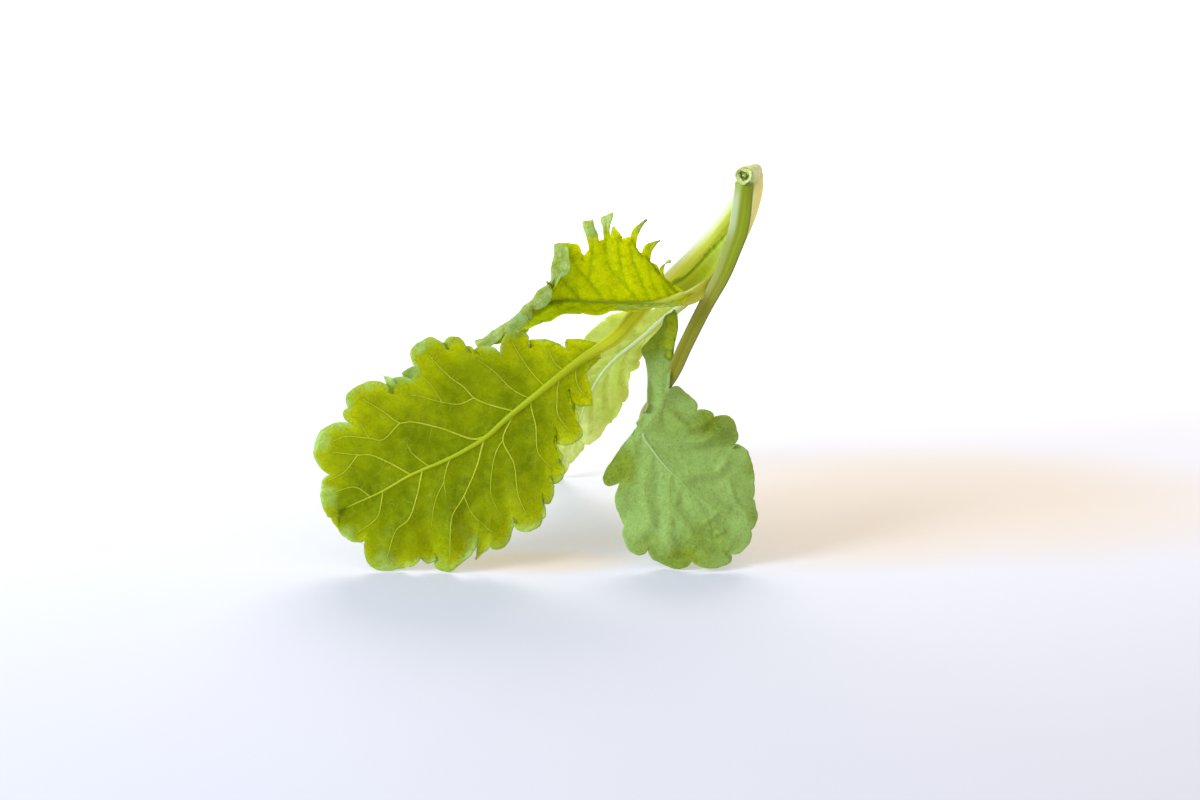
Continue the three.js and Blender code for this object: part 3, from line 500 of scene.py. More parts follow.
def through(points, ts):
    """Places on the smooth centripetal curve through points, at ts from 0 to 1 over its stretches."""
    p = np.asarray(points, float)
    p = np.vstack([2 * p[0] - p[1], p, 2 * p[-1] - p[-2]])
    stretches = len(p) - 3
    ts = np.asarray(ts, float) * stretches
    k = np.clip(ts.astype(int), 0, stretches - 1)
    w = (ts - k)[:, None]
    p0, p1, p2, p3 = p[k], p[k + 1], p[k + 2], p[k + 3]

    def knot_gap(a, b):
        return np.maximum(np.linalg.norm(b - a, axis=1), TINY)[:, None] ** 0.5

    d0, d1, d2 = knot_gap(p0, p1), knot_gap(p1, p2), knot_gap(p2, p3)
    t1 = ((p1 - p0) / d0 - (p2 - p0) / (d0 + d1)) * d1 + (p2 - p1)
    t2 = ((p3 - p2) / d2 - (p3 - p1) / (d1 + d2)) * d1 + (p2 - p1)
    return p1 + w * t1 + w**2 * (3 * (p2 - p1) - 2 * t1 - t2) + w**3 * (2 * (p1 - p2) + t1 + t2)


class SmoothCurve:
    """A smooth curve through points, walked by shares of its length from 0 to 1."""

    def __init__(self, points):
        self.points = points
        self.ts = np.linspace(0, 1, 400)
        steps = np.diff(through(points, self.ts), axis=0)
        walked = np.r_[0, np.cumsum(np.linalg.norm(steps, axis=1))]
        self.length = walked[-1]
        self.shares = walked / self.length

    def at(self, shares):
        return through(self.points, self.t_at(shares))

    def t_at(self, shares):
        return np.interp(np.atleast_1d(shares), self.shares, self.ts)


def unit(vectors):
    vectors = np.asarray(vectors, float)
    return vectors / np.maximum(np.linalg.norm(vectors, axis=-1, keepdims=True), TINY)


def ripple(x, seed, waves=((5.3, 1.0), (2.9, 0.6), (1.6, 0.35))):
    """A smooth seeded wobble along x, in mm, between about -1 and 1."""
    rng = np.random.default_rng(seed)
    phases = rng.uniform(0, 2 * math.pi, len(waves))
    total = 0
    for (period, size), phase in zip(waves, phases):
        total = total + size * np.sin(2 * math.pi * x / period + phase)
    return total / sum(size for _, size in waves)


# From a leaf's flat face to the sprig


def nearest_on_roll(roll, s, v):
    """The nearest place on the roll's line, how far off it is, the way to it and whether it is past."""
    far = np.full(np.shape(s), np.inf)
    foot = np.zeros((*np.shape(s), 2))
    past = np.zeros(np.shape(s), bool)
    place = np.stack([s, v], -1)
    for a, b in zip(roll["line"], roll["line"][1:]):
        a, step = np.array(a), np.subtract(b, a)
        t = np.clip(((place - a) @ step) / (step @ step), 0, 1)
        here = a + t[..., None] * step
        away = place - here
        distance = np.linalg.norm(away, axis=-1)
        nearer = distance < far
        far = np.where(nearer, distance, far)
        foot = np.where(nearer[..., None], here, foot)
        past = np.where(nearer, step[0] * away[..., 1] - step[1] * away[..., 0] < 0, past)
    return far, foot, past


def roll_over(roll, s, v):
    """Rolls what lies past a line on the face forward, over a small radius, and towards its end further."""
    far, foot, past = nearest_on_roll(roll, s, v)
    radius, turn = roll["radius"], roll["turn"]
    angle = np.minimum(far / radius, turn)
    rest = np.maximum(far - radius * turn, 0)
    reach = radius * np.sin(angle) + rest * math.cos(turn)
    rise = radius * (1 - np.cos(angle)) + rest * math.sin(turn)
    rise += roll["stand_off"] * np.clip((foot[..., 0] - roll["stand_off_from"]) / 4, 0, 1) * angle / turn
    away = (np.stack([s, v], -1) - foot) / np.maximum(far, TINY)[..., None]
    rolled = foot + away * reach[..., None]
    past = past & (far > TINY)
    return past, foot, rolled, rise


def rib_height(leaf, s):
    rib = np.array(leaf["rib"], float)
    return np.interp(s, rib[:, 0], rib[:, 1])


def fold_along_rib(leaf, s, v, lift):
    """Folds the face forward along its rib: how far across and how far out a place comes to lie."""
    fold = leaf["fold"]
    half = fold["crease_half"]
    rib = rib_height(leaf, s)
    out = v - rib
    full_turn = math.pi / 2 - (fold["droop"] + fold["droop_gain"] * s)
    radius = 2 * half / full_turn
    turn = np.clip((out + half) / radius, 0, full_turn)
    past = np.maximum(out - half, 0)
    across = rib - half + radius * np.sin(turn) + past * np.cos(turn) - lift * np.sin(turn)
    forward = radius * (1 - np.cos(turn)) + past * np.sin(turn) + lift * np.cos(turn)
    flat = out < -half
    leaning = lift - fold["lean"] * (out + half) ** 2
    return np.where(flat, v, across), np.where(flat, leaning, forward)


def dish_lift(dish, s, v):
    """How far the dish of a leaf without a fold lifts a place out of its flat face."""
    along = np.clip(s / dish["length"], 0, 1)
    return dish["curl"] * (v - dish["middle"]) ** 2 + dish["arch"] * np.sin(math.pi * along)


def place_on(leaf, s, v, lift):
    """Places on the leaf's face, lifted out of it, in the sprig's frame in mm."""
    s, v, lift = (np.asarray(value, float) for value in np.broadcast_arrays(s, v, lift))
    if "roll" in leaf:
        past, foot, rolled, rise = roll_over(leaf["roll"], s, v)
        foot_s = np.where(past, foot[..., 0], s)
        foot_v = np.where(past, foot[..., 1], v)
        across, out = fold_along_rib(leaf, foot_s, foot_v, lift)
        s = np.where(past, rolled[..., 0], s)
        v = np.where(past, across + rolled[..., 1] - foot[..., 1], across)
        out = np.where(past, out + rise, out)
    elif "fold" in leaf:
        v, out = fold_along_rib(leaf, s, v, lift)
    else:
        out = lift + dish_lift(leaf["dish"], s, v)
    along = unit(leaf["along"])
    face = np.array(leaf["face"], float)
    face = unit(face - along * (face @ along))
    across = np.cross(face, along)
    origin = tables_frame(leaf["origin"])
    return origin + s[..., None] * along + v[..., None] * across + out[..., None] * face


# Blades


def lobe_arc(notch, tip, following, fullness, t):
    """The arc of a lobe from one notch over its tip to the next."""
    notch, tip, following = (np.array(place, float) for place in (notch, tip, following))
    middle = (notch + following) / 2
    start = np.where((t < 0.5)[:, None], notch, following)
    angle = math.pi * np.minimum(t, 1 - t)[:, None]
    power = 2 / fullness
    along = np.clip(np.cos(angle), 0, 1) ** power
    out = np.clip(np.sin(angle), 0, 1) ** power
    return middle + (start - middle) * along + (tip - middle) * out


def root_places(leaf, notches, rib_curve):
    """Where on the rib, from 0 to 1, the line to each notch starts, and which one is the tip's."""
    start, end = leaf["rib"][0][0], leaf["rib"][-1][0]
    along = np.clip((notches[:, 0] - start) / (end - start), 0, 1)
    out = np.abs(notches[:, 1] - rib_curve.at(along)[:, 1])
    roots = notches[:, 0] - VEIN_SLANT * out
    tip = int(np.argmax(roots))
    for k, (s, _) in enumerate(notches):
        towards_base = -1 if k <= tip else 1
        for step in (-3, -2, -1, 1, 2, 3):
            other = k + step
            if not 0 <= other < len(notches) or (k - tip) * (other - tip) < 0 or out[other] > 0.85 * out[k]:
                continue
            met = s - (s - notches[other][0]) * out[k] / (out[k] - out[other])
            roots[k] = max(roots[k], met) if step * towards_base > 0 else min(roots[k], met)
    places = np.clip((roots - start) / (end - start), 0, 1)
    places[: tip + 1] = np.maximum.accumulate(places[: tip + 1])
    places[tip:] = np.maximum.accumulate(places[tip:][::-1])[::-1]
    return places, tip


def reach_to_roll(roll, root, notch):
    """How far along the way from the rib to a notch the line of the roll is met."""
    shares = np.arange(1, ROLL_SEARCH_STEPS) / ROLL_SEARCH_STEPS
    way = root + shares[:, None] * (notch - root)
    past = nearest_on_roll(roll, way[:, 0], way[:, 1])[2]
    if not past.any():
        return INNER_REACH
    return min(np.argmax(past) / ROLL_SEARCH_STEPS, INNER_REACH)


class Sheet:
    """A blade laid out flat: places, lifts and nearness to the margin of its points, and its faces."""

    def __init__(self, leaf, settings):
        self.leaf = leaf
        self.gap = settings.point_gap / MM
        self.points = []
        self.faces = []
        self.rib_curve = SmoothCurve(leaf["rib"])
        self.rib_steps = settings.rib_steps
        shares = np.linspace(0, 1, self.rib_steps + 1)
        self.add([(s, v, 0, 0) for s, v in self.rib_curve.at(shares)])
        self.lay_columns(settings)
        self.stitch_to_rib()
        for strip in leaf.get("strips", []):
            self.add_strip(strip)
        table = np.array(self.points)
        self.s, self.v, self.lift, self.edge = table.T
        self.flat = table[:, :2]

    def add(self, rows):
        first = len(self.points)
        self.points.extend(rows)
        return list(range(first, len(self.points)))

    def lay_columns(self, settings):
        """Lays rows of points from the rib out to the margin, lobe by lobe."""
        leaf = self.leaf
        margin = leaf["margin"]
        notches = np.array([row[:2] for row in margin] + [leaf["margin_end"]], float)
        places, tip = root_places(leaf, notches, self.rib_curve)
        roots = self.rib_curve.at(places)
        reach = np.full(len(notches), INNER_REACH)
        rolled = "roll" in leaf
        if rolled:
            reach = np.array([reach_to_roll(leaf["roll"], *pair) for pair in zip(roots, notches)])
        inner, outer = settings.inner_rows, settings.outer_rows * (3 if rolled else 1)
        t1 = np.arange(1, inner + 1)[:, None] / inner
        t2 = np.arange(1, outer + 1)[:, None] / outer
        strip_lobes = {strip["lobe"] for strip in leaf.get("strips", [])}
        dense = np.linspace(0, 1, 61)
        self.columns = []
        self.first_columns = []
        for k, (_, _, tip_s, tip_v, curl, fullness) in enumerate(margin):
            outline = lobe_arc(notches[k], (tip_s, tip_v), notches[k + 1], fullness, dense)
            walked = np.r_[0, np.cumsum(np.linalg.norm(np.diff(outline, axis=0), axis=1))]
            count = max(round(walked[-1] / self.gap), 6)
            self.first_columns.append(len(self.columns))
            t = np.arange(count + (k == len(margin) - 1)) / count
            even = np.interp(t, walked / walked[-1], dense)
            ends = roots[k : k + 2] + reach[k : k + 2, None] * (notches[k : k + 2] - roots[k : k + 2])
            us = places[k] + (places[k + 1] - places[k]) * t
            rings = ends[0] + t[:, None] * (ends[1] - ends[0])
            edges = lobe_arc(notches[k], (tip_s, tip_v), notches[k + 1], fullness, even)
            fade = np.abs(2 * t - 1) ** 3 if k in strip_lobes else np.ones(len(t))
            if k not in strip_lobes:
                edges = self.uneven(edges, rings, t, k, settings.unevenness)
            for i, root in enumerate(self.rib_curve.at(us)):
                swing = curl * math.sin(math.pi * t[i])
                near = root + t1 * (rings[i] - root)
                out = rings[i] + t2 * (edges[i] - rings[i])
                inside = np.linalg.norm(rings[i] - root)
                share = inside / max(inside + np.linalg.norm(edges[i] - rings[i]), TINY)
                near_rows = np.hstack([near, RING_LIFT * swing * t1**3, t1 * share * fade[i]])
                out_lifts = swing * (RING_LIFT + (1 - RING_LIFT) * t2**2)
                out_rows = np.hstack([out, out_lifts, (share + (1 - share) * t2) * fade[i]])
                path = us[i] if k + t[i] < tip else 2 - us[i]
                self.columns.append((path, self.add([tuple(row) for row in (*near_rows, *out_rows)])))
        for (_, a), (_, b) in zip(self.columns, self.columns[1:]):
            self.faces += [(a[j], a[j + 1], b[j + 1], b[j]) for j in range(len(a) - 1)]

    def uneven(self, edges, rings, t, lobe, size):
        """Makes a lobe's edge a little uneven, and leaves its notches where they are."""
        lengths = np.r_[0, np.cumsum(np.linalg.norm(np.diff(edges, axis=0), axis=1))]
        wobble = size / MM * ripple(lengths, seed=lobe + 1) * np.sin(math.pi * t) ** 0.5
        return edges + wobble[:, None] * unit(edges - rings)

    def stitch_to_rib(self):
        """Joins the first row of the columns to the rib, out along one side and back along the other."""
        steps = self.rib_steps
        chain = [(k, k / steps) for k in range(steps + 1)]
        chain += [(k, 2 - k / steps) for k in range(steps - 1, -1, -1)]
        r = c = 0
        while r + 1 < len(chain) or c + 1 < len(self.columns):
            rib_next = chain[r + 1][1] if r + 1 < len(chain) else math.inf
            column_next = self.columns[c + 1][0] if c + 1 < len(self.columns) else math.inf
            if rib_next <= column_next:
                self.faces.append((chain[r][0], self.columns[c][1][0], chain[r + 1][0]))
                r += 1
            else:
                self.faces.append((chain[r][0], self.columns[c][1][0], self.columns[c + 1][1][0]))
                c += 1

    def add_strip(self, strip):
        """Adds a finger or a long lobe as a ladder between its two edges, on one lobe of the margin."""
        start_edge, end_edge = SmoothCurve(strip["start_edge"]), SmoothCurve(strip["end_edge"])
        first, last = (self.first_columns[strip["lobe"] + k] for k in (0, 1))
        below = [self.columns[k][1][-1] for k in range(first, last + 1)]
        across = np.linspace(0, 1, len(below))
        off_middle = np.abs(2 * across - 1)
        rows = max(round(max(start_edge.length, end_edge.length) / self.gap), 6)
        for j in range(1, rows + 1):
            up = j / rows
            a, b = start_edge.at(up)[0], end_edge.at(up)[0]
            places = a + across[:, None] * (b - a)
            lifts = strip["curl"] * up**2 + strip["cup"] * min(3 * up, 1) * off_middle**2
            edge = np.maximum(off_middle**3, up**8)
            row = self.add([tuple(point) for point in np.c_[places, lifts, edge]])
            for i in range(len(row) - 1):
                self.faces.append((below[i], row[i], row[i + 1], below[i + 1]))
            below = row


def flat_tree(flat, faces):
    """A search tree over a blade's faces, laid out flat."""
    return BVHTree.FromPolygons([(s, v, 0) for s, v in flat], faces)


# Veins


def vein_samples(leaf, step=0.3):
    """Places and half widths along the midrib and all drawn veins."""
    wide, thin = leaf["rib_half_width"]
    places, widths = [], []
    for start, end, line in [(wide, thin, leaf["rib"]), *leaf["veins"]]:
        curve = SmoothCurve(line)
        shares = np.linspace(0, 1, max(int(curve.length / step), 2))
        places.append(curve.at(shares))
        widths.append(start + (end - start) * shares)
    return np.vstack(places), np.concatenate(widths)


def scattered(sheet, tree, spacing, seed):
    """Seeded spots all over a blade, about spacing apart."""
    rng = np.random.default_rng(seed)
    low, high = sheet.flat.min(0), sheet.flat.max(0)
    grid = np.stack(np.meshgrid(*(np.arange(a, b, spacing) for a, b in zip(low, high))), -1).reshape(-1, 2)
    grid += rng.uniform(-0.48, 0.48, grid.shape) * spacing
    return np.array([(s, v) for s, v in grid if tree.find_nearest((s, v, 0))[3] < TINY])


def grow_lines(places, spots, step, clear):
    """Grows lines from places towards spots, step by step, until each spot has one near it."""
    number, far = (found[:, 0] for found in nearest_samples(places, spots))
    parents = []
    for _ in range(MOST_GROWTH_STEPS):
        kept = far > clear
        spots, number, far = spots[kept], number[kept], far[kept]
        if not len(spots):
            break
        pulls = np.zeros((len(places), 2))
        np.add.at(pulls, number, unit(spots - places[number]))
        growing = np.unique(number)
        tips = places[growing] + step * unit(pulls[growing])
        gaps = np.hypot(spots[:, :1] - tips[:, 0], spots[:, 1:] - tips[:, 1])
        best, nearest = gaps.argmin(1), gaps.min(1)
        closer = nearest < far - TINY
        if not closer.any():
            break
        used, renumbered = np.unique(best[closer], return_inverse=True)
        number[closer] = len(places) + renumbered
        far[closer] = nearest[closer]
        places = np.vstack([places, tips[used]])
        parents += growing[used].tolist()
    return places, parents


def join_tips(places, parents, first, reach):
    """Joins each grown tip to a line ahead of it, so that the net closes."""
    numbers = np.arange(first, len(places))
    tips = np.setdiff1d(numbers, parents)
    near, gaps = nearest_samples(places, places[tips], 14)
    joins = []
    for tip, others, far in zip(tips, near, gaps):
        chain = {tip}
        walk = tip
        for _ in range(6):
            walk = parents[walk]
            chain.add(walk)
            if walk < first:
                break
        ahead = places[tip] - places[parents[tip]]
        for other, gap in zip(others, far):
            onwards = (places[other] - places[tip]) @ ahead
            if other not in chain and parents[other] not in chain and gap < reach and onwards > 0:
                joins.append((tip, other))
                break
    return joins


def vein_plan(leaf, sheet, settings):
    """All veins of a blade laid out flat: places, half widths in mm, rank and the edges between them."""
    tree = flat_tree(sheet.flat, sheet.faces)
    places, widths, ranks, edges = [], [], [], []
    for start, end, line in leaf["veins"]:
        curve = SmoothCurve(line)
        shares = np.linspace(0, 1, max(int(curve.length / 0.4), 6))
        row = curve.at(shares)
        inside = [tree.find_nearest((s, v, 0))[3] < 0.05 for s, v in row]
        count = len(row) if all(inside) else max(inside.index(False), 2)
        first = len(places)
        width = start + (end - start) * shares**0.8
        width[count - 1] *= 0.4
        places += row[:count].tolist()
        widths += width[:count].tolist()
        edges += [(first + k, first + k + 1) for k in range(count - 1)]
    ranks += [0] * len(places)
    seeds = vein_samples(leaf)[0]
    first = len(seeds)
    grown = seeds
    parents = [-1] * first
    for spacing, step, seed in ((settings.mesh_cell / MM, 0.45, 3), (settings.net_cell / MM, 0.36, 8)):
        spots = scattered(sheet, tree, spacing, seed)
        grown, fresh = grow_lines(grown, spots, step, 0.42 * spacing)
        parents += fresh
    load = np.ones(len(grown))
    for k in range(len(grown) - 1, first - 1, -1):
        if parents[k] >= first:
            load[parents[k]] += load[k]
    joins = join_tips(grown, parents, first, 1.25 * settings.net_cell / MM)
    pairs = [(parents[k], k) for k in range(first, len(grown))] + joins
    for _ in range(2):
        grown = smoothed(grown, pairs, first)
    half = np.clip(0.032 * load**0.4, 0.035, 0.1)
    half[:first] = 0.06
    used = np.unique(pairs)
    renumber = {old: len(places) + k for k, old in enumerate(used.tolist())}
    places += grown[used].tolist()
    widths += half[used].tolist()
    ranks += [1] * len(used)
    edges += [(renumber[a], renumber[b]) for a, b in pairs]
    return places, widths, ranks, edges


def smoothed(places, pairs, first):
    """Grown places moved half way to the middle of their neighbours."""
    a, b = np.array(pairs).T
    total = np.zeros_like(places)
    count = np.zeros(len(places))
    np.add.at(total, a, places[b])
    np.add.at(total, b, places[a])
    np.add.at(count, a, 1)
    np.add.at(count, b, 1)
    moving = count > 1
    moving[:first] = False
    result = places.copy()
    result[moving] = 0.5 * places[moving] + 0.5 * total[moving] / count[moving, None]
    return result


def lines_mesh(name, plan):
    """Keeps a blade's vein plan as a mesh of lines, laid out flat in mm."""
    places, widths, ranks, edges = plan
    mesh = bpy.data.meshes.new(name)
    mesh.from_pydata([(s, v, 0) for s, v in places], edges, [])
    write_attribute(mesh, "half_width", "FLOAT", widths)
    write_attribute(mesh, "rank", "FLOAT", ranks)
    mesh.use_fake_user = True
    return mesh


def nearest_samples(places, queries, count=1):
    """For each query the nearest of the places: their numbers and how far off they are."""
    tree = KDTree(len(places))
    for k, (s, v) in enumerate(places):
        tree.insert((s, v, 0), k)
    tree.balance()
    found = [tree.find_n((s, v, 0), count) for s, v in queries]
    numbers = np.array([[hit[1] for hit in hits] for hits in found])
    far = np.array([[hit[2] for hit in hits] for hits in found])
    return numbers, far


def sheet_normals(points, faces):
    normals = np.zeros_like(points)
    for size in (3, 4):
        corners = np.array([face for face in faces if len(face) == size])
        if not len(corners):
            continue
        a, b, c = points[corners[:, 0]], points[corners[:, 1]], points[corners[:, 2]]
        d = points[corners[:, -1]]
        flat = np.cross(b - a, c - a) if size == 3 else np.cross(c - a, d - b)
        for column in range(size):
            np.add.at(normals, corners[:, column], flat)
    return unit(normals)


class Blade:
    """A blade's middle sheet in the sprig's frame, with what its finish needs at each point."""

    def __init__(self, leaf, settings):
        self.leaf = leaf
        sheet = Sheet(leaf, settings)
        self.faces = sheet.faces
        self.flat = sheet.flat
        self.edge = sheet.edge
        self.under = 1 if leaf["rib_stands_out"] > 0 else -1
        self.plan = vein_plan(leaf, sheet, settings)
        vein_places, vein_widths = vein_samples(leaf)
        number, far = (found[:, 0] for found in nearest_samples(vein_places, self.flat))
        self.vein = np.exp(-((far / (vein_widths[number] + 0.22)) ** 2))
        puff = 1 - np.exp(-((far / 1.7) ** 2))
        grown = np.array(self.plan[0])[np.array(self.plan[2]) > 0]
        far = nearest_samples(grown, self.flat)[1][:, 0]
        self.net = np.exp(-((far / 0.28) ** 2))
        cells = 1 - np.exp(-((far / 0.5) ** 2))
        points = place_on(leaf, sheet.s, sheet.v, sheet.lift)
        normals = sheet_normals(points, self.faces)
        relief = -self.under * (settings.quilting * puff + settings.net_relief * cells) / MM
        relief *= 1 - 0.5 * self.edge**4
        relief += self.waves(sheet) + self.creases()
        self.points = stood_on_floor(points + relief[:, None] * normals)
        self.normals = sheet_normals(self.points, self.faces)
        self.bloom = self.wax_and_painted_light_at()

    def waves(self, sheet):
        """Slow waves that grow towards the margin, in mm."""
        total = np.zeros(len(sheet.s))
        side = np.where(sheet.v > rib_height(self.leaf, sheet.s), 1, -1)
        for size, period, phase in self.leaf["waves"]:
            total += size * np.sin(2 * math.pi * sheet.s / period + phase + 1.3 * side)
        return total * sheet.edge**2.5

    def creases(self):
        """Ridges and furrows along the leaf's creases, in mm."""
        total = np.zeros(len(self.flat))
        for height, reach, line in self.leaf["creases"]:
            samples = SmoothCurve(line).at(np.linspace(0, 1, 40))
            gaps = np.hypot(self.flat[:, :1] - samples[:, 0], self.flat[:, 1:] - samples[:, 1])
            share = gaps.argmin(1) / (len(samples) - 1)
            fade = np.clip(5 * np.minimum(share, 1 - share) + 0.15, 0, 1)
            total += height * fade * np.exp(-((gaps.min(1) / reach) ** 2))
        return total

    # Adds up the patches of bluish wax, painted sheen and, below -1, painted light.
    def wax_and_painted_light_at(self):
        total = np.zeros(len(self.flat))
        for s, v, reach, amount in self.leaf["bloom"]:
            far = np.linalg.norm(self.flat - (s, v), axis=1)
            total += amount * np.exp(-((far / reach) ** 4))
        return np.clip(total, -2, 1)

    def mesh(self, name, thickness):
        """The blade as one closed mesh with two faces and an edge between them."""
        half = (thickness / MM / 2 * (1 - 0.5 * self.edge**8))[:, None]
        count = len(self.points)
        corners = np.vstack([self.points + half * self.normals, self.points - half * self.normals])
        faces = list(self.faces)
        faces += [tuple(count + k for k in reversed(face)) for face in self.faces]
        edges = {(a, b) for face in self.faces for a, b in zip(face, (*face[1:], face[0]))}
        faces += [(b, a, a + count, b + count) for a, b in sorted(edges) if (b, a) not in edges]
        mesh = bpy.data.meshes.new(name)
        mesh.from_pydata((corners * MM).tolist(), [], faces)
        face_places = np.c_[self.flat, np.zeros(count)]
        write_attribute(mesh, "face_place", "FLOAT_VECTOR", np.tile(face_places, (2, 1)))
        write_attribute(mesh, "sheet_out", "FLOAT_VECTOR", np.tile(self.normals, (2, 1)))
        for label in ("vein", "net", "edge", "bloom"):
            write_attribute(mesh, label, "FLOAT", np.tile(getattr(self, label), 2))
        underside = np.r_[np.full(count, self.under > 0), np.full(count, self.under < 0)].astype(float)
        write_attribute(mesh, "underside", "FLOAT", underside)
        mesh.shade_smooth()
        return mesh


def stood_on_floor(points):
    """Lifts a blade's lowest part so that it stands just clear of the floor."""
    lowest = points[:, 2].min()
    if lowest >= FLOOR_GAP:
        return points
    low = points[:, 2] < FOOT_HEIGHT
    share = (FOOT_HEIGHT - FLOOR_GAP) / (FOOT_HEIGHT - lowest)
    points[low, 2] = FOOT_HEIGHT - (FOOT_HEIGHT - points[low, 2]) * share
    return points


class FinishedBlade:
    """A finished blade piece, looked up by places on its flat face."""

    def __init__(self, leaf):
        piece = bpy.data.objects.get(leaf["node"] + "_blade")
        if piece is None:
            raise RuntimeError("Build the leaf blades first")
        mesh = piece.data
        count = len(mesh.vertices) // 2
        places = read_vectors(mesh.vertices, "co") / MM
        self.sides = places[:count], places[count:]
        self.flat = read_vectors(mesh.attributes["face_place"].data, "vector")[:count]
        self.faces = [tuple(face.vertices) for face in mesh.polygons if max(face.vertices) < count]
        self.tree = flat_tree(self.flat[:, :2], self.faces)
        self.under = 1 if leaf["rib_stands_out"] > 0 else -1

    def at(self, places):
        """Points on the two sides of the blade over places on its flat face, and the way out of it."""
        found = []
        for s, v in places:
            hit, _, number, _ = self.tree.find_nearest((s, v, 0))
            corners = list(self.faces[number])
            weights = np.array(poly_3d_calc([Vector(self.flat[k]) for k in corners], hit))
            if not np.isfinite(weights).all():
                weights = np.full(len(corners), 1 / len(corners))
            found.append([weights @ side[corners] for side in self.sides])
        front, back = np.array(found).transpose(1, 0, 2)
        return front, back, unit(front - back)


def read_vectors(data, field):
    values = np.empty(len(data) * 3, np.float32)
    data.foreach_get(field, values)
    return values.reshape(-1, 3).astype(float)


def write_attribute(mesh, name, kind, values):
    attribute = mesh.attributes.new(name, kind, "POINT")
    field = "vector" if kind == "FLOAT_VECTOR" else "value"
    attribute.data.foreach_set(field, np.asarray(values, np.float32).ravel())


# Node trees


class Value:
    """One output of a node. Arithmetic on it adds the Math nodes that work it out."""

    def __init__(self, nodes, socket):
        self.nodes = nodes
        self.socket = socket

    def maths(self, operation, *values):
        sockets = dict(enumerate(values))
        return self.nodes.add("ShaderNodeMath", {"operation": operation}, sockets)

    def __add__(self, other):
        return self.maths("ADD", self, other)

    def __sub__(self, other):
        return self.maths("SUBTRACT", self, other)

    def __rsub__(self, other):
        return self.maths("SUBTRACT", other, self)

    def __mul__(self, other):
        return self.maths("MULTIPLY", self, other)

    def __truediv__(self, other):
        return self.maths("DIVIDE", self, other)

    def __rtruediv__(self, other):
        return self.maths("DIVIDE", other, self)

    __radd__ = __add__
    __rmul__ = __mul__

    def clipped(self):
        return self.nodes.add("ShaderNodeClamp", {}, {"Value": self})

    def between(self, low, high):
        """0 at low, 1 at high and smooth between them."""
        sockets = {"Value": self, "From Min": low, "From Max": high}
        return self.nodes.add("ShaderNodeMapRange", {"interpolation_type": "SMOOTHSTEP"}, sockets)


class Nodes:
    """A node tree under construction."""

    def __init__(self, tree):
        self.tree = tree

    def add(self, kind, settings=None, sockets=None, output=0):
        """Adds a node: its settings first, then values or links of its sockets. Returns one output."""
        node = self.tree.nodes.new(kind)
        for name, value in (settings or {}).items():
            if name == "stops":
                self.set_stops(node.color_ramp, value)
            else:
                setattr(node, name, value)
        for key, value in (sockets or {}).items():
            if isinstance(value, Value):
                self.tree.links.new(value.socket, node.inputs[key])
            else:
                node.inputs[key].default_value = value
        return Value(self, node.outputs[output]) if len(node.outputs) else node

    @staticmethod
    def set_stops(ramp, stops):
        while len(ramp.elements) > 1:
            ramp.elements.remove(ramp.elements[-1])
        ramp.elements[0].position, ramp.elements[0].color = stops[0][0], (*stops[0][1], 1)
        for position, colour in stops[1:]:
            ramp.elements.new(position).color = (*colour, 1)

    def attribute(self, name, output="Fac"):
        return self.add("ShaderNodeAttribute", {"attribute_name": name}, output=output)

    def blend(self, factor, first, second):
        """A mix of two colours, each a linked output or three numbers."""
        a, b = (c if isinstance(c, Value) else (*c, 1) for c in (first, second))
        return self.add("ShaderNodeMix", {"data_type": "RGBA"}, {0: factor, 6: a, 7: b}, 2)

    def noise(self, place, period, detail=2.0, roughness=0.5):
        """Noise from 0 to 1 whose blotches are about period across, in the unit of place."""
        sockets = {"Vector": place, "Scale": 1 / period, "Detail": detail, "Roughness": roughness}
        return self.add("ShaderNodeTexNoise", {}, sockets, "Fac")

    def cell_edge(self, place, period, randomness=0.9):
        """How far the nearest edge between cells of about period across is, in cells."""
        sockets = {"Vector": place, "Scale": 1 / period, "Randomness": randomness}
        return self.add("ShaderNodeTexVoronoi", {"feature": "DISTANCE_TO_EDGE"}, sockets, "Distance")


def new_material(name):
    material = bpy.data.materials.new(name)
    material.use_nodes = True
    material.node_tree.nodes.clear()
    return material, Nodes(material.node_tree)


def thin_tissue(nodes, reflected, through, share, roughness, normal, gloss):
    """Leaf tissue: part of the light comes back off it and part shines through it."""
    front = nodes.add(
        "ShaderNodeBsdfPrincipled",
        {},
        {"Base Color": reflected, "Roughness": roughness, "Normal": normal, "Specular IOR Level": gloss},
        "BSDF",
    )
    behind = nodes.add("ShaderNodeBsdfTranslucent", {}, {"Color": through, "Normal": normal})
    mixed = nodes.add("ShaderNodeMixShader", {}, {0: share, 1: front, 2: behind})
    nodes.add("ShaderNodeOutputMaterial", {}, {"Surface": mixed})


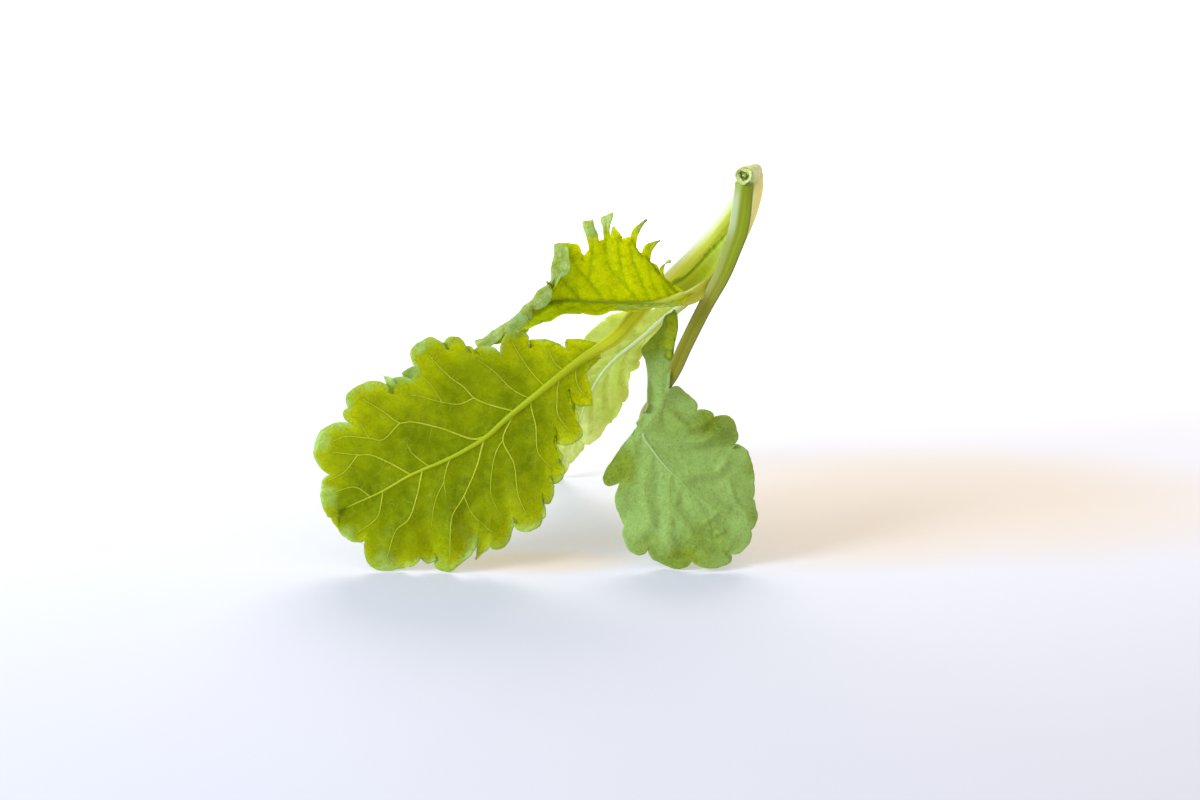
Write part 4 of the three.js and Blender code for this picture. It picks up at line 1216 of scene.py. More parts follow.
def blade_material(leaf):
    material, nodes = new_material(leaf["node"] + "_tissue")
    looks = LOOKS[leaf["node"]]
    place = nodes.attribute("face_place", "Vector")
    under, vein, net, edge = (nodes.attribute(name) for name in ("underside", "vein", "net", "edge"))
    blotch = nodes.noise(place, 9.0)
    mottle = nodes.noise(place, 2.4, 3.0)
    speck = nodes.noise(place, 0.6, 3.0, 0.6)
    grain = nodes.noise(place, 0.3, 2.0)
    # Bluish wax bloom, painted sheen and, below -1, painted light, from the patches and the all-over amount.
    bloom = nodes.attribute("bloom") + looks["bloom"] + (mottle - 0.5) * 0.35 + (blotch - 0.5) * 0.25
    from_base = nodes.add("ShaderNodeSeparateXYZ", {}, {0: place}, "X")
    bloom = bloom + under * from_base.between(20.0, 25.0) * looks["bloom_under"]
    # Painted sheen: pale bluish wax colour along the margin, where the lobes curl towards the light.
    bloom = (bloom + edge.between(0.88, 1.0) * looks["painted_rim_sheen"] * mottle).clipped()
    # The wax colours are also the colours of the painted sheen.
    wax_and_sheen = nodes.blend(nodes.noise(place, 4.5).between(0.4, 0.65), looks["wax_and_sheen"], looks["wax_and_sheen_deep"])
    near_base = 1 - from_base.between(2.0, 26.0)
    # Painted light: the tissue is made lighter towards the margin and the base, and darker where these amounts
    # are below zero.
    painted_lightening = edge.between(0.35, 1.0) * looks["margin_painted_light"] + near_base * looks["base_painted_light"]
    # Painted light where the patches add up to less than -1.
    painted_lit = (-1 - nodes.attribute("bloom")).clipped() * 1.5
    # Painted highlight along the margin, strongest at the very edge; with the painted light above it, it
    # lightens the tissue and its glow.
    rim = edge.between(0.8, 1.0) * looks["rim"] + edge.between(0.95, 1.0) * 0.5
    rim = rim + painted_lightening * (0.55 + blotch * 0.9) + painted_lit
    mesh = 1 - nodes.cell_edge(place, 0.85).between(0.0, 0.16)
    lines = (vein * looks["halo"] + net * looks["net"] + mesh * looks["mesh"]).clipped()
    green = nodes.blend(blotch.between(0.3, 0.7), looks["deep"], looks["green"])
    green = nodes.blend((mottle - 0.4).clipped() * 1.6, green, looks["light"])
    green = nodes.blend(rim.clipped(), green, looks["light"])
    green = nodes.blend(bloom, green, wax_and_sheen)
    green = nodes.blend(vein * looks["vein_shade"], green, looks["deep"])
    reflected = nodes.blend(lines, green, looks["vein"])
    reflected = nodes.blend(speck.between(0.45, 0.8) * looks["speck"], reflected, looks["deep"])
    glow = nodes.blend(blotch.between(0.25, 0.75), looks["glow_deep"], looks["glow"])
    glow = nodes.blend((rim + (mottle - 0.5) * 0.5).clipped(), glow, looks["glow_light"])
    glow = nodes.blend(vein * looks["vein_shade"], glow, looks["glow_deep"])
    glow = nodes.blend(lines, glow, looks["glow_vein"])
    glow = nodes.blend(speck.between(0.4, 0.8) * looks["speck"], glow, looks["glow_deep"])
    glow = nodes.blend(bloom * 0.5, glow, looks["wax_and_sheen"])
    share = (looks["through"] - bloom * looks["bloom_shut"]).clipped()
    height = speck * 0.5 + grain * 0.25 + mottle * 0.4 - mesh * 0.3
    normal = nodes.add("ShaderNodeBump", {}, {"Strength": 0.5, "Distance": 0.1 * MM, "Height": height})
    roughness = 0.5 + (mottle - 0.5) * 0.18 + bloom * 0.12
    thin_tissue(nodes, reflected, glow, share, roughness, normal, looks["gloss"])
    return material


def stalk_material(leaf):
    material, nodes = new_material(leaf["node"] + "_stalk_skin")
    looks = LOOKS[leaf["node"]]
    along = nodes.attribute("along")
    turn = nodes.attribute("turn")
    object_place = nodes.add("ShaderNodeTexCoord", output="Object")
    blotch = nodes.noise(object_place, 3.2 * MM)
    streak_place = nodes.add("ShaderNodeCombineXYZ", {}, {0: turn * 9.0, 1: along * 7.0, 2: 0.0})
    streak = nodes.noise(streak_place, 1.0, 3.0)
    grain = nodes.noise(object_place, 0.25 * MM)
    here = along + (blotch - 0.5) * 0.06
    body = nodes.add("ShaderNodeValToRGB", {"stops": looks["stalk"]}, {"Fac": here}, "Color")
    body = nodes.blend(streak.between(0.45, 0.8) * 0.4, body, looks["stalk_streak"])
    body = nodes.blend(nodes.attribute("wing").clipped() * 0.75, body, looks["wing"])
    body = nodes.blend(nodes.attribute("groove").clipped() * 0.5, body, looks["groove"])
    # Stripes round the stalk; some of them are painted highlights.
    for middle, half, start, end, strength, colour in looks["stalk_bands"]:
        off = (turn - middle) / half
        mask = 1 - (off * off).between(0.0, 1.0)
        mask = mask * along.between(start - 0.08, start + 0.02) * (1 - along.between(end - 0.08, end))
        body = nodes.blend(mask * strength * (0.75 + streak * 0.5), body, colour)
    height = streak * 0.6 + grain * 0.25
    normal = nodes.add("ShaderNodeBump", {}, {"Strength": 0.5, "Distance": 0.12 * MM, "Height": height})
    roughness = 0.42 + (blotch - 0.5) * 0.2
    share = (looks["stalk_through"] + nodes.attribute("wing").clipped() * 0.25).clipped()
    thin_tissue(nodes, body, body, share, roughness, normal, 0.3)
    return material


def vein_material(leaf, kind, strength):
    """A vein's skin, which is part way from the tissue's colour to a vein's."""
    material, nodes = new_material(leaf["node"] + kind + "_skin")
    looks = LOOKS[leaf["node"]]
    mottle = nodes.noise(nodes.add("ShaderNodeTexCoord", output="Object"), 1.6 * MM)
    patch = mottle.between(0.3, 0.75)
    pale_under = leaf["rib_stands_out"] < 0
    dark, bright = (looks["light"], looks["wax_and_sheen"]) if pale_under else (looks["vein"], looks["vein_light"])
    body = nodes.blend(strength, looks["light"], nodes.blend(patch, dark, bright))
    glow = nodes.blend(0.0 if pale_under else strength, looks["glow"], looks["glow_vein"])
    normal = nodes.add("ShaderNodeBump", {}, {"Strength": 0.4, "Distance": 0.06 * MM, "Height": mottle})
    thin_tissue(nodes, body, glow, 0.45, 0.5 + (mottle - 0.5) * 0.1, normal, 0.25)
    return material


# Colours are linear. deep, green and light are the blade where light comes back off it, the wax and
# sheen colours where it has bluish wax bloom, and where sheen is painted on, and glow ones where light
# shines through. The all-over wax amount is how much bluish wax there is everywhere, and through how
# much light goes through. The rim amount paints a highlight along the margin, and the margin and base
# amounts paint light towards the margin and the base, and paint shade instead where they are below
# zero. A stalk's stops run from the stem to the tip of the midrib. A stalk's band is its middle and
# half width round the stalk, in turns, where it starts and ends along, its strength and its colour;
# some bands are painted highlights.
LOOKS = {
    "leaf_left": {
        "deep": (0.10, 0.14, 0.0), "green": (0.16, 0.21, 0.0), "light": (0.35, 0.41, 0.0),
        "wax_and_sheen": (0.50, 0.72, 0.22), "vein": (0.66, 0.72, 0.02), "vein_light": (0.76, 0.80, 0.08),
        "glow_deep": (0.44, 0.53, 0.0), "glow": (0.63, 0.71, 0.0), "glow_light": (0.98, 1.0, 0.005),
        "glow_vein": (1.0, 1.0, 0.04), "bloom": -0.12, "bloom_under": 0.0, "rim": 0.3, "net": 0.09,
        "halo": 0.0, "speck": 0.6, "through": 0.56, "bloom_shut": 0.34, "gloss": 0.08,
        "margin_painted_light": 0.55, "base_painted_light": 0.55, "net_vein": 0.34, "mesh": 0.07, "vein_shade": 0.5,
        "painted_rim_sheen": 1.2, "wax_and_sheen_deep": (0.36, 0.54, 0.12), "cord_width": 0.88,
        "stalk": [
            (0.0, (0.62, 0.70, 0.18)), (0.25, (0.92, 0.93, 0.10)), (0.36, (0.82, 0.83, 0.04)),
            (0.46, (0.66, 0.69, 0.02)), (0.54, (0.56, 0.62, 0.0)), (0.7, (0.50, 0.60, 0.0)),
            (1.0, (0.62, 0.70, 0.01)),
        ],
        "stalk_streak": (0.80, 0.84, 0.08), "wing": (0.80, 0.88, 0.14), "groove": (0.30, 0.42, 0.0),
        "stalk_through": 0.35,
        "stalk_bands": [
            # Painted highlight: the pale band on the upper left of the stalk.
            (0.46, 0.2, 0.04, 0.33, 0.9, (0.88, 0.90, 0.62)),
            (0.2, 0.12, 0.04, 0.34, 0.5, (0.78, 0.82, 0.09)),
            (0.36, 0.05, 0.36, 0.62, 0.6, (0.60, 0.56, 0.02)),
            (0.16, 0.05, 0.36, 0.62, 0.6, (0.54, 0.56, 0.0)),
        ],
    },
    "leaf_upper": {
        "deep": (0.35, 0.37, 0.0), "green": (0.46, 0.48, 0.0), "light": (0.60, 0.60, 0.0),
        # The dark vein colour here is partly the veins' own darker green and partly painted shade in the
        # creases along them.
        "wax_and_sheen": (0.58, 0.73, 0.30), "vein": (0.30, 0.38, 0.0), "vein_light": (0.42, 0.48, 0.01),
        "glow_deep": (0.76, 0.80, 0.0), "glow": (0.89, 0.93, 0.0), "glow_light": (0.97, 0.98, 0.0),
        "glow_vein": (0.58, 0.68, 0.0), "bloom": -0.1, "bloom_under": 0.95, "rim": 0.3, "net": 0.55,
        "halo": 0.42, "speck": 0.5, "through": 0.66, "bloom_shut": 0.3, "gloss": 0.08,
        "margin_painted_light": 0.1, "base_painted_light": 0.5, "net_vein": 0.3, "mesh": 0.5, "vein_shade": 0.2,
        "painted_rim_sheen": 0.0, "wax_and_sheen_deep": (0.30, 0.52, 0.24), "cord_width": 0.75,
        "stalk": [
            (0.0, (0.62, 0.70, 0.0)), (0.3, (0.64, 0.70, 0.0)), (0.42, (0.70, 0.68, 0.05)),
            (0.6, (0.70, 0.70, 0.05)), (0.68, (0.32, 0.40, 0.0)), (1.0, (0.18, 0.27, 0.0)),
        ],
        "stalk_streak": (0.88, 0.90, 0.20), "wing": (0.92, 0.90, 0.28), "groove": (0.50, 0.50, 0.01),
        "stalk_through": 0.35,
        "stalk_bands": [
            (0.2, 0.14, 0.0, 0.34, 0.85, (0.28, 0.42, 0.0)), (0.62, 0.24, 0.0, 0.34, 0.6, (0.40, 0.48, 0.0)),
            # The pale streak at turn 0.45 is a painted highlight along the midrib's edge.
            (0.45, 0.06, 0.4, 0.62, 0.7, (0.94, 0.92, 0.34)),
        ],
    },
    "leaf_middle": {
        "deep": (0.23, 0.31, 0.02), "green": (0.34, 0.46, 0.04), "light": (0.60, 0.71, 0.15),
        "wax_and_sheen": (0.84, 0.88, 0.34), "vein": (0.80, 0.84, 0.34), "vein_light": (0.86, 0.90, 0.44),
        "glow_deep": (0.58, 0.65, 0.03), "glow": (0.76, 0.83, 0.08), "glow_light": (0.94, 0.94, 0.24),
        "glow_vein": (1.0, 1.0, 0.4), "bloom": 0.42, "bloom_under": 0.2, "rim": 0.3, "net": 0.1,
        "halo": 0.4, "speck": 0.4, "through": 0.54, "bloom_shut": 0.15, "gloss": 0.12,
        "margin_painted_light": 0.2, "base_painted_light": 0.6, "net_vein": 0.2, "mesh": 0.08, "vein_shade": 0.0,
        "painted_rim_sheen": 0.3, "wax_and_sheen_deep": (0.60, 0.76, 0.22), "cord_width": 0.8,
        "stalk": [
            (0.0, (0.96, 0.84, 0.40)), (0.14, (0.92, 0.84, 0.42)), (0.25, (0.76, 0.74, 0.28)),
            (0.42, (0.86, 0.90, 0.50)), (0.7, (0.86, 0.92, 0.50)), (1.0, (0.80, 0.88, 0.36)),
        ],
        "stalk_streak": (0.74, 0.70, 0.36), "wing": (0.78, 0.78, 0.40), "groove": (0.50, 0.56, 0.12),
        "stalk_through": 0.35,
        "stalk_bands": [],
    },
    "leaf_right": {
        "deep": (0.16, 0.245, 0.01), "green": (0.20, 0.29, 0.003), "light": (0.50, 0.58, 0.01),
        "wax_and_sheen": (0.35, 0.53, 0.13), "vein": (0.44, 0.58, 0.18), "vein_light": (0.50, 0.64, 0.24),
        "glow_deep": (0.42, 0.52, 0.0), "glow": (0.54, 0.62, 0.0), "glow_light": (0.64, 0.72, 0.01),
        "glow_vein": (0.60, 0.72, 0.10), "bloom": 0.92, "bloom_under": 0.0, "rim": 0.1, "net": 0.0,
        "halo": 0.0, "speck": 0.6, "through": 0.42, "bloom_shut": 0.27, "gloss": 0.16,
        "margin_painted_light": -0.1, "base_painted_light": 0.1, "net_vein": 0.0, "mesh": 0.36, "vein_shade": 0.0,
        "painted_rim_sheen": 0.0, "wax_and_sheen_deep": (0.31, 0.47, 0.11), "cord_width": 0.45,
        "stalk": [
            (0.0, (0.40, 0.48, 0.01)), (0.2, (0.34, 0.40, 0.01)), (0.36, (0.32, 0.30, 0.01)),
            (0.52, (0.27, 0.23, 0.0)), (0.57, (0.52, 0.42, 0.20)), (0.63, (0.46, 0.62, 0.24)),
            (1.0, (0.36, 0.54, 0.15)),
        ],
        "stalk_streak": (0.38, 0.42, 0.06), "wing": (0.42, 0.46, 0.10), "groove": (0.24, 0.24, 0.01),
        "stalk_through": 0.15,
        "stalk_bands": [
            # The two bands at turn 0.42 are a painted highlight down the left side, partly the stalk's bluish
            # wax bloom.
            (0.42, 0.2, 0.07, 0.38, 0.65, (0.48, 0.51, 0.13)),
            (0.42, 0.16, 0.07, 0.22, 0.5, (0.82, 0.94, 0.60)),
            (0.22, 0.13, 0.0, 0.33, 0.7, (0.28, 0.37, 0.0)),
            (0.02, 0.12, 0.05, 0.55, 0.6, (0.24, 0.23, 0.01)),
        ],
    },
}


# Geometry node trees


def new_geometry_tree(name, inputs):
    """A tree with a mesh in and out and named inputs of (name, socket type, default)."""
    tree = bpy.data.node_groups.new(name, "GeometryNodeTree")
    tree.interface.new_socket(name="Mesh", in_out="INPUT", socket_type="NodeSocketGeometry")
    tree.interface.new_socket(name="Mesh", in_out="OUTPUT", socket_type="NodeSocketGeometry")
    for label, kind, default in inputs:
        socket = tree.interface.new_socket(name=label, in_out="INPUT", socket_type=kind)
        if default is not None:
            socket.default_value = default
    nodes = Nodes(tree)
    group_in = tree.nodes.new("NodeGroupInput")
    values = {socket.name: Value(nodes, socket) for socket in group_in.outputs if socket.name}
    return tree, nodes, values


def finish_tree(nodes, mesh, material):
    """Ends a tree: its instances are made real and its mesh gets the material."""
    mesh = nodes.add("GeometryNodeSetShadeSmooth", {}, {0: mesh})
    mesh = nodes.add("GeometryNodeRealizeInstances", {}, {0: mesh})
    mesh = nodes.add("GeometryNodeSetMaterial", {}, {"Geometry": mesh, "Material": material})
    nodes.add("NodeGroupOutput", {}, {0: mesh})


def named(nodes, name, kind="FLOAT"):
    return nodes.add("GeometryNodeInputNamedAttribute", {"data_type": kind}, {"Name": name})


def pucker_tree():
    """Puckers a blade softly along its own outward direction, at two sizes, and not at its veins."""
    tree, nodes, values = new_geometry_tree(
        "leaf_pucker",
        [
            ("Pucker", "NodeSocketFloat", 0.0),
            ("Pucker size", "NodeSocketFloat", 2.6),
            ("Crumple", "NodeSocketFloat", 0.0),
            ("Crumple size", "NodeSocketFloat", 1.1),
            ("Material", "NodeSocketMaterial", None),
        ],
    )
    place = named(nodes, "face_place", "FLOAT_VECTOR")
    rise = 0
    for label in ("Pucker", "Crumple"):
        sockets = {"Vector": place, "Scale": 1 / values[label + " size"], "Detail": 1.0}
        rise = (nodes.add("ShaderNodeTexNoise", {}, sockets, "Fac") - 0.5) * values[label] + rise
    size = rise * (1 - named(nodes, "vein"))
    out = named(nodes, "sheet_out", "FLOAT_VECTOR")
    offset = nodes.add("ShaderNodeVectorMath", {"operation": "SCALE"}, {0: out, "Scale": size})
    mesh = nodes.add("GeometryNodeSetPosition", {}, {"Geometry": values["Mesh"], "Offset": offset})
    finish_tree(nodes, mesh, values["Material"])
    return tree


def cord_tree():
    """Sweeps a round section along each line of a mesh, at the half width written on its points."""
    tree, nodes, values = new_geometry_tree(
        "vein_cords",
        [
            ("Sides", "NodeSocketInt", 8),
            ("Width", "NodeSocketFloat", 1.0),
            ("Material", "NodeSocketMaterial", None),
        ],
    )
    curve = nodes.add("GeometryNodeMeshToCurve", {}, {"Mesh": values["Mesh"]})
    section = nodes.add(
        "GeometryNodeCurvePrimitiveCircle", {"mode": "RADIUS"}, {"Resolution": values["Sides"], "Radius": MM}
    )
    width = named(nodes, "half_width") * values["Width"]
    sockets = {"Curve": curve, "Profile Curve": section, "Scale": width, "Fill Caps": True}
    mesh = nodes.add("GeometryNodeCurveToMesh", {}, sockets)
    finish_tree(nodes, mesh, values["Material"])
    return tree


def grown(name, mesh, tree, inputs):
    """Runs a geometry tree on a mesh and returns a plain piece with the result."""
    carrier = bpy.data.objects.new(name + "_carrier", mesh)
    bpy.context.scene.collection.objects.link(carrier)
    modifier = carrier.modifiers.new("grow", "NODES")
    modifier.node_group = tree
    for socket in tree.interface.items_tree:
        if socket.item_type == "SOCKET" and socket.in_out == "INPUT" and socket.name in inputs:
            modifier[socket.identifier] = inputs[socket.name]
    bpy.context.view_layer.update()
    evaluated = carrier.evaluated_get(bpy.context.evaluated_depsgraph_get())
    result = bpy.data.meshes.new_from_object(evaluated)
    result.name = name
    bpy.data.objects.remove(carrier)
    piece = bpy.data.objects.new(name, result)
    bpy.context.scene.collection.objects.link(piece)
    return piece


def keep(piece, replaced=None):
    """Hands a finished piece to the frame: it rides on the sprig and may stand for a node."""
    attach(piece, BODY)
    if replaced:
        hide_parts(replaced)


def plain_piece(name, places, faces, material, attributes):
    mesh = bpy.data.meshes.new(name)
    mesh.from_pydata((np.asarray(places) * MM).tolist(), [], faces)
    for label, values in attributes.items():
        write_attribute(mesh, label, "FLOAT", values)
    mesh.shade_smooth()
    mesh.materials.append(material)
    piece = bpy.data.objects.new(name, mesh)
    bpy.context.scene.collection.objects.link(piece)
    return piece


# Stalks and the cut stem


def tube_faces(rings, sides):
    """Faces of a closed tube whose points go ring by ring."""
    faces = []
    for k in range(rings - 1):
        for i in range(sides):
            j = (i + 1) % sides
            faces.append((k * sides + i, k * sides + j, (k + 1) * sides + j, (k + 1) * sides + i))
    faces.append(tuple(range(sides - 1, -1, -1)))
    faces.append(tuple((rings - 1) * sides + i for i in range(sides)))
    return faces


def stalk_rows(leaf):
    """The stalk's rows, which run on along the midrib over the finished blade."""
    rows = [(*tables_frame(row[:3]), *row[3:]) for row in leaf["stalk"]]
    wide, thin = leaf["rib_half_width"]
    stretches = len(leaf["rib"]) - 1
    inside = through(leaf["rib"], np.linspace(1, stretches, RIB_ROWS * (stretches - 1) + 1) / stretches)
    front, back, out = FinishedBlade(leaf).at(inside)
    for k, (point, normal) in enumerate(zip((front + back) / 2, out)):
        share = (k + 1) / len(inside)
        width = wide + (thin - wide) * share
        extra, reach = leaf.get("rib_flare", (0, 1))
        flare = extra * math.exp(-share / reach)
        sunk = leaf["rib_stands_out"] * (1 - 0.55 * share)
        rows.append((*(point + sunk * normal), width + flare, 0.85 * width))
    return rows


def stalk_piece(leaf, settings, material):
    """A stalk with a groove along its upper side and a thin wing on each edge of it."""
    rows = np.array(stalk_rows(leaf))
    path = SmoothCurve(rows[:, :3])
    shares = np.linspace(0, 1, settings.rings)
    ts = path.t_at(shares)
    centres = through(rows[:, :3], ts)
    sizes = through(rows[:, 3:], ts)
    on_stalk, on_rib = len(leaf["stalk"]), len(leaf["rib"]) - 2
    along = np.interp(ts, [0, on_stalk / (len(rows) - 1), 1], [0, on_stalk / (on_stalk + on_rib), 1])
    tangents = unit(np.gradient(centres, axis=0))
    across = unit(np.cross(leaf["face"], tangents))
    up = np.cross(tangents, across)
    turns = np.arange(settings.sides) / settings.sides
    angles = 2 * math.pi * turns
    upper = -1 if leaf["rib_stands_out"] > 0 else 1
    middle = upper * math.pi / 2
    off = np.abs((angles - middle + math.pi) % (2 * math.pi) - math.pi)
    groove = np.exp(-((off / 0.42) ** 2))
    wing = np.exp(-(((off - 0.95) / 0.22) ** 2))
    stalk_end = (on_stalk - 1) / (on_stalk + on_rib)
    body_share = np.clip((stalk_end + 0.12 - along) / 0.2, 0, 1)[:, None]
    start_share = np.clip(along / 0.12, 0, 1)[:, None]
    grooved = settings.groove * body_share * start_share
    winged = settings.wing * body_share * start_share
    ridges = 0.018 * np.sin(11 * angles + 1.0) + 0.012 * np.sin(17 * angles)
    radial = 1 + ridges - grooved * groove + winged * wing
    from_end = np.clip(2 * shares * path.length / sizes[0, 1], 0.04, 1)[:, None]
    flare = (1 + 0.16 * np.exp(-shares / 0.03)[:, None]) * np.sqrt(1 - (1 - from_end) ** 2)
    wide = sizes[:, :1] * flare * np.cos(angles) * radial
    thick = sizes[:, 1:] * flare * np.sin(angles) * radial
    places = centres[:, None] + across[:, None] * wide[..., None] + up[:, None] * thick[..., None]
    attributes = {
        "along": np.repeat(along, settings.sides),
        "turn": np.tile(turns, settings.rings),
        "groove": (groove * body_share).ravel(),
        "wing": (wing * body_share).ravel(),
    }
    faces = tube_faces(settings.rings, settings.sides)
    return plain_piece(leaf["node"] + "_stalk", places.reshape(-1, 3), faces, material, attributes)


def channel_piece(leaf, settings, material):
    """The shallow channel that a stalk opens into above the blade, with a frilled upper edge."""
    channel = leaf["channel"]
    upper, lower = (SmoothCurve(tables_frame(channel[edge])) for edge in ("upper_edge", "lower_edge"))
    rows, columns = settings.rings // 2, settings.sides // 2
    ups = np.linspace(0, 1, rows)
    across = np.linspace(0, 1, columns)
    tops, bottoms = upper.at(ups), lower.at(ups)
    frill = channel["frill"] * ripple(ups * upper.length, 5, ((2.6, 1.0), (1.3, 0.7))) * np.sin(math.pi * ups)
    swing = frill[:, None] * (1 - across) ** 3
    depth = channel["depth"] * np.sin(math.pi * ups)[:, None] ** 0.6 * np.sin(math.pi * across)
    face = unit(np.array(leaf["face"], float))
    middle = tops[:, None] + across[:, None] * (bottoms - tops)[:, None] - (depth + swing)[..., None] * face
    middle += (0.35 * swing)[..., None] * np.array((0, 0, 1.0))
    half = 0.3 * np.clip(np.sin(math.pi * across), 0.35, 1)[:, None] * face
    places = np.vstack([(middle + half).reshape(-1, 3), (middle - half).reshape(-1, 3)])
    number = np.arange(rows * columns).reshape(rows, columns)
    sheet = [
        (number[j, i], number[j, i + 1], number[j + 1, i + 1], number[j + 1, i])
        for j in range(rows - 1)
        for i in range(columns - 1)
    ]
    rim = [*number[0], *number[1:, -1], *number[-1, -2::-1], *number[-2:0:-1, 0]]
    count = rows * columns
    faces = [tuple(int(k) for k in reversed(face)) for face in sheet]
    faces += [tuple(int(k) + count for k in face) for face in sheet]
    faces += [(int(a), int(b), int(b) + count, int(a) + count) for a, b in zip(rim, (*rim[1:], rim[0]))]
    start, end = channel["along"]
    attributes = {
        "along": np.tile(np.repeat(start + (end - start) * ups, columns), 2),
        "turn": np.tile(np.tile(0.05 + 0.9 * across, rows), 2),
        "groove": np.zeros(2 * count),
        "wing": np.zeros(2 * count),
    }
    return plain_piece(leaf["node"] + "_channel", places, faces, material, attributes)


def vein_cord_lines(leaf, rank):
    """Vein lines of one rank laid along the underside of the finished blade."""
    lines = bpy.data.meshes.get(leaf["node"] + "_vein_plan")
    if lines is None:
        raise RuntimeError("Build the leaf blades first")
    count = len(lines.vertices)
    flat = read_vectors(lines.vertices, "co")[:, :2]
    widths, ranks = np.empty(count, np.float32), np.empty(count, np.float32)
    lines.attributes["half_width"].data.foreach_get("value", widths)
    lines.attributes["rank"].data.foreach_get("value", ranks)
    kept = np.flatnonzero(ranks == rank)
    number = {old: new for new, old in enumerate(kept.tolist())}
    edges = [tuple(number[k] for k in edge.vertices) for edge in lines.edges if edge.vertices[0] in number]
    blade = FinishedBlade(leaf)
    front, back, out = blade.at(flat[kept])
    widths = widths[kept]
    surface, outward = (front, out) if blade.under > 0 else (back, -out)
    widths = widths * LOOKS[leaf["node"]]["cord_width"]
    corners = surface - (UNDERSIDE_SUNK[rank] * widths)[:, None] * outward
    mesh = bpy.data.meshes.new(f"{leaf['node']}_vein_lines_{rank}")
    mesh.from_pydata((corners * MM).tolist(), edges, [])
    write_attribute(mesh, "half_width", "FLOAT", widths)
    return mesh


def cut_stem_piece(settings, material):
    """The stem: an uneven cut face with a skin, a ring and a pith hollow, and a rounded back."""
    path = SmoothCurve(tables_frame(CUT_STEM["path"]))
    sides = settings.sides
    angles = 2 * math.pi * np.arange(sides) / sides
    wobble = 1 + 0.05 * np.sin(3 * angles + 0.6) + 0.03 * np.sin(5 * angles + 2.0)
    wobble += 0.012 * np.sin(13 * angles)
    # Rings of the cut face from its middle outwards: how far out, how far in and how bright
    face_rings = [
        (0.02, 0.30, 0.8), (0.1, 0.35, 0.7), (0.17, 0.55, 0.3), (0.26, 0.8, 0.05), (0.4, 0.75, 0.05),
        (0.5, 0.55, 0.2), (0.57, 0.3, 0.5), (0.62, 0.2, 0.75), (0.69, 0.22, 0.5), (0.76, 0.12, 0.8),
        (0.83, 0.04, 0.6), (0.88, 0.0, 0.5), (0.93, 0.02, 0.45), (0.97, 0.1, 0.4), (1.0, 0.26, 0.35),
    ]
    start, ahead = path.at([0, 0.02])
    axis = unit(ahead - start)
    across = unit(np.cross((0, 0, 1), axis))
    up = np.cross(axis, across)
    circle = across * np.cos(angles)[:, None] + up * np.sin(angles)[:, None]
    places, bright = [], []
    radius = CUT_STEM["radius"]
    for k, (out, depth, light) in enumerate(face_rings):
        ragged = 0.14 * np.sin(2 * angles + 0.5) + 0.1 * np.sin(3 * angles + k)
        ragged += 0.07 * np.sin(7 * angles + 2 * k)
        share = out * (wobble if out > 0.8 else 1 + (wobble - 1) * (1 - out) + ragged)
        inward = np.full(sides, depth)
        if out < 0.8:
            inward += 0.06 * np.sin(9 * angles + k)
        places.append(start + circle * (radius * share)[:, None] + axis * inward[:, None])
        bright.append(np.full(sides, light))
    for share in np.linspace(0.03, 1, settings.rings // 3):
        centre = path.at(share)[0]
        taper = 1 - (1 - CUT_STEM["back_taper"]) * max(share - 0.6, 0) / 0.4
        swell = 1 + 0.05 * math.sin(5.2 * share)
        here = radius * taper * swell * (1 + (wobble - 1) * (1 - 0.4 * share))
        places.append(centre + circle * here[:, None])
        bright.append(np.full(sides, 0.0))
    end = path.at(1.0)[0]
    for lift in (0.4, 0.75, 0.95):
        shrink = math.sqrt(1 - lift**2)
        here = radius * CUT_STEM["back_taper"] * shrink
        places.append(end + axis * radius * CUT_STEM["back_taper"] * lift + circle * here)
        bright.append(np.full(sides, 0.0))
    rings = len(places)
    cut = np.repeat(np.arange(rings) < len(face_rings), sides).astype(float)
    # A bruise on the lower right of the rim
    around = np.exp(-(((angles - CUT_STEM["bruise"] + math.pi) % (2 * math.pi) - math.pi) / 0.4) ** 2)
    reach = np.interp(np.arange(rings), [9, 11, 15, 18], [0, 1, 1, 0])
    attributes = {"bright": np.concatenate(bright), "cut": cut, "bruise": np.outer(reach, around).ravel()}
    faces = tube_faces(rings, sides)
    return plain_piece("cut_stem_flesh", np.vstack(places), faces, material, attributes)


def stem_material():
    material, nodes = new_material("cut_stem_skin")
    bright = nodes.attribute("bright")
    cut = nodes.attribute("cut")
    place = nodes.add("ShaderNodeTexCoord", output="Object")
    mottle = nodes.noise(place, 0.55 * MM, 3.0, 0.65)
    blotch = nodes.noise(place, 2.5 * MM)
    stops = [
        (0.0, (0.12, 0.15, 0.01)), (0.2, (0.30, 0.34, 0.04)), (0.45, (0.60, 0.68, 0.18)),
        (0.75, (0.78, 0.88, 0.36)), (1.0, (0.96, 1.0, 0.70)),
    ]
    flesh = nodes.add("ShaderNodeValToRGB", {"stops": stops}, {"Fac": bright + (mottle - 0.5) * 1.7}, "Color")
    skin = nodes.blend(blotch.between(0.35, 0.7), (0.44, 0.54, 0.08), (0.80, 0.74, 0.32))
    colour = nodes.blend(cut, skin, flesh)
    colour = nodes.blend(nodes.attribute("bruise") * (0.5 + mottle), colour, (0.13, 0.11, 0.07))
    normal = nodes.add("ShaderNodeBump", {}, {"Strength": 0.6, "Distance": 0.15 * MM, "Height": mottle})
    thin_tissue(nodes, colour, colour, 0.2, 0.45 + (mottle - 0.5) * 0.2, normal, 0.3)
    return material


# The stage


def area_light(name, place, aim, size, power, colour):
    light = bpy.data.lights.new(name, "AREA")
    light.shape = "RECTANGLE"
    light.size, light.size_y = size
    light.energy = power
    light.color = colour
    lamp = bpy.data.objects.new(name, light)
    bpy.context.scene.collection.objects.link(lamp)
    lamp.location = place
    lamp.rotation_euler = (Vector(aim) - Vector(place)).to_track_quat("-Z", "Y").to_euler()
    return lamp


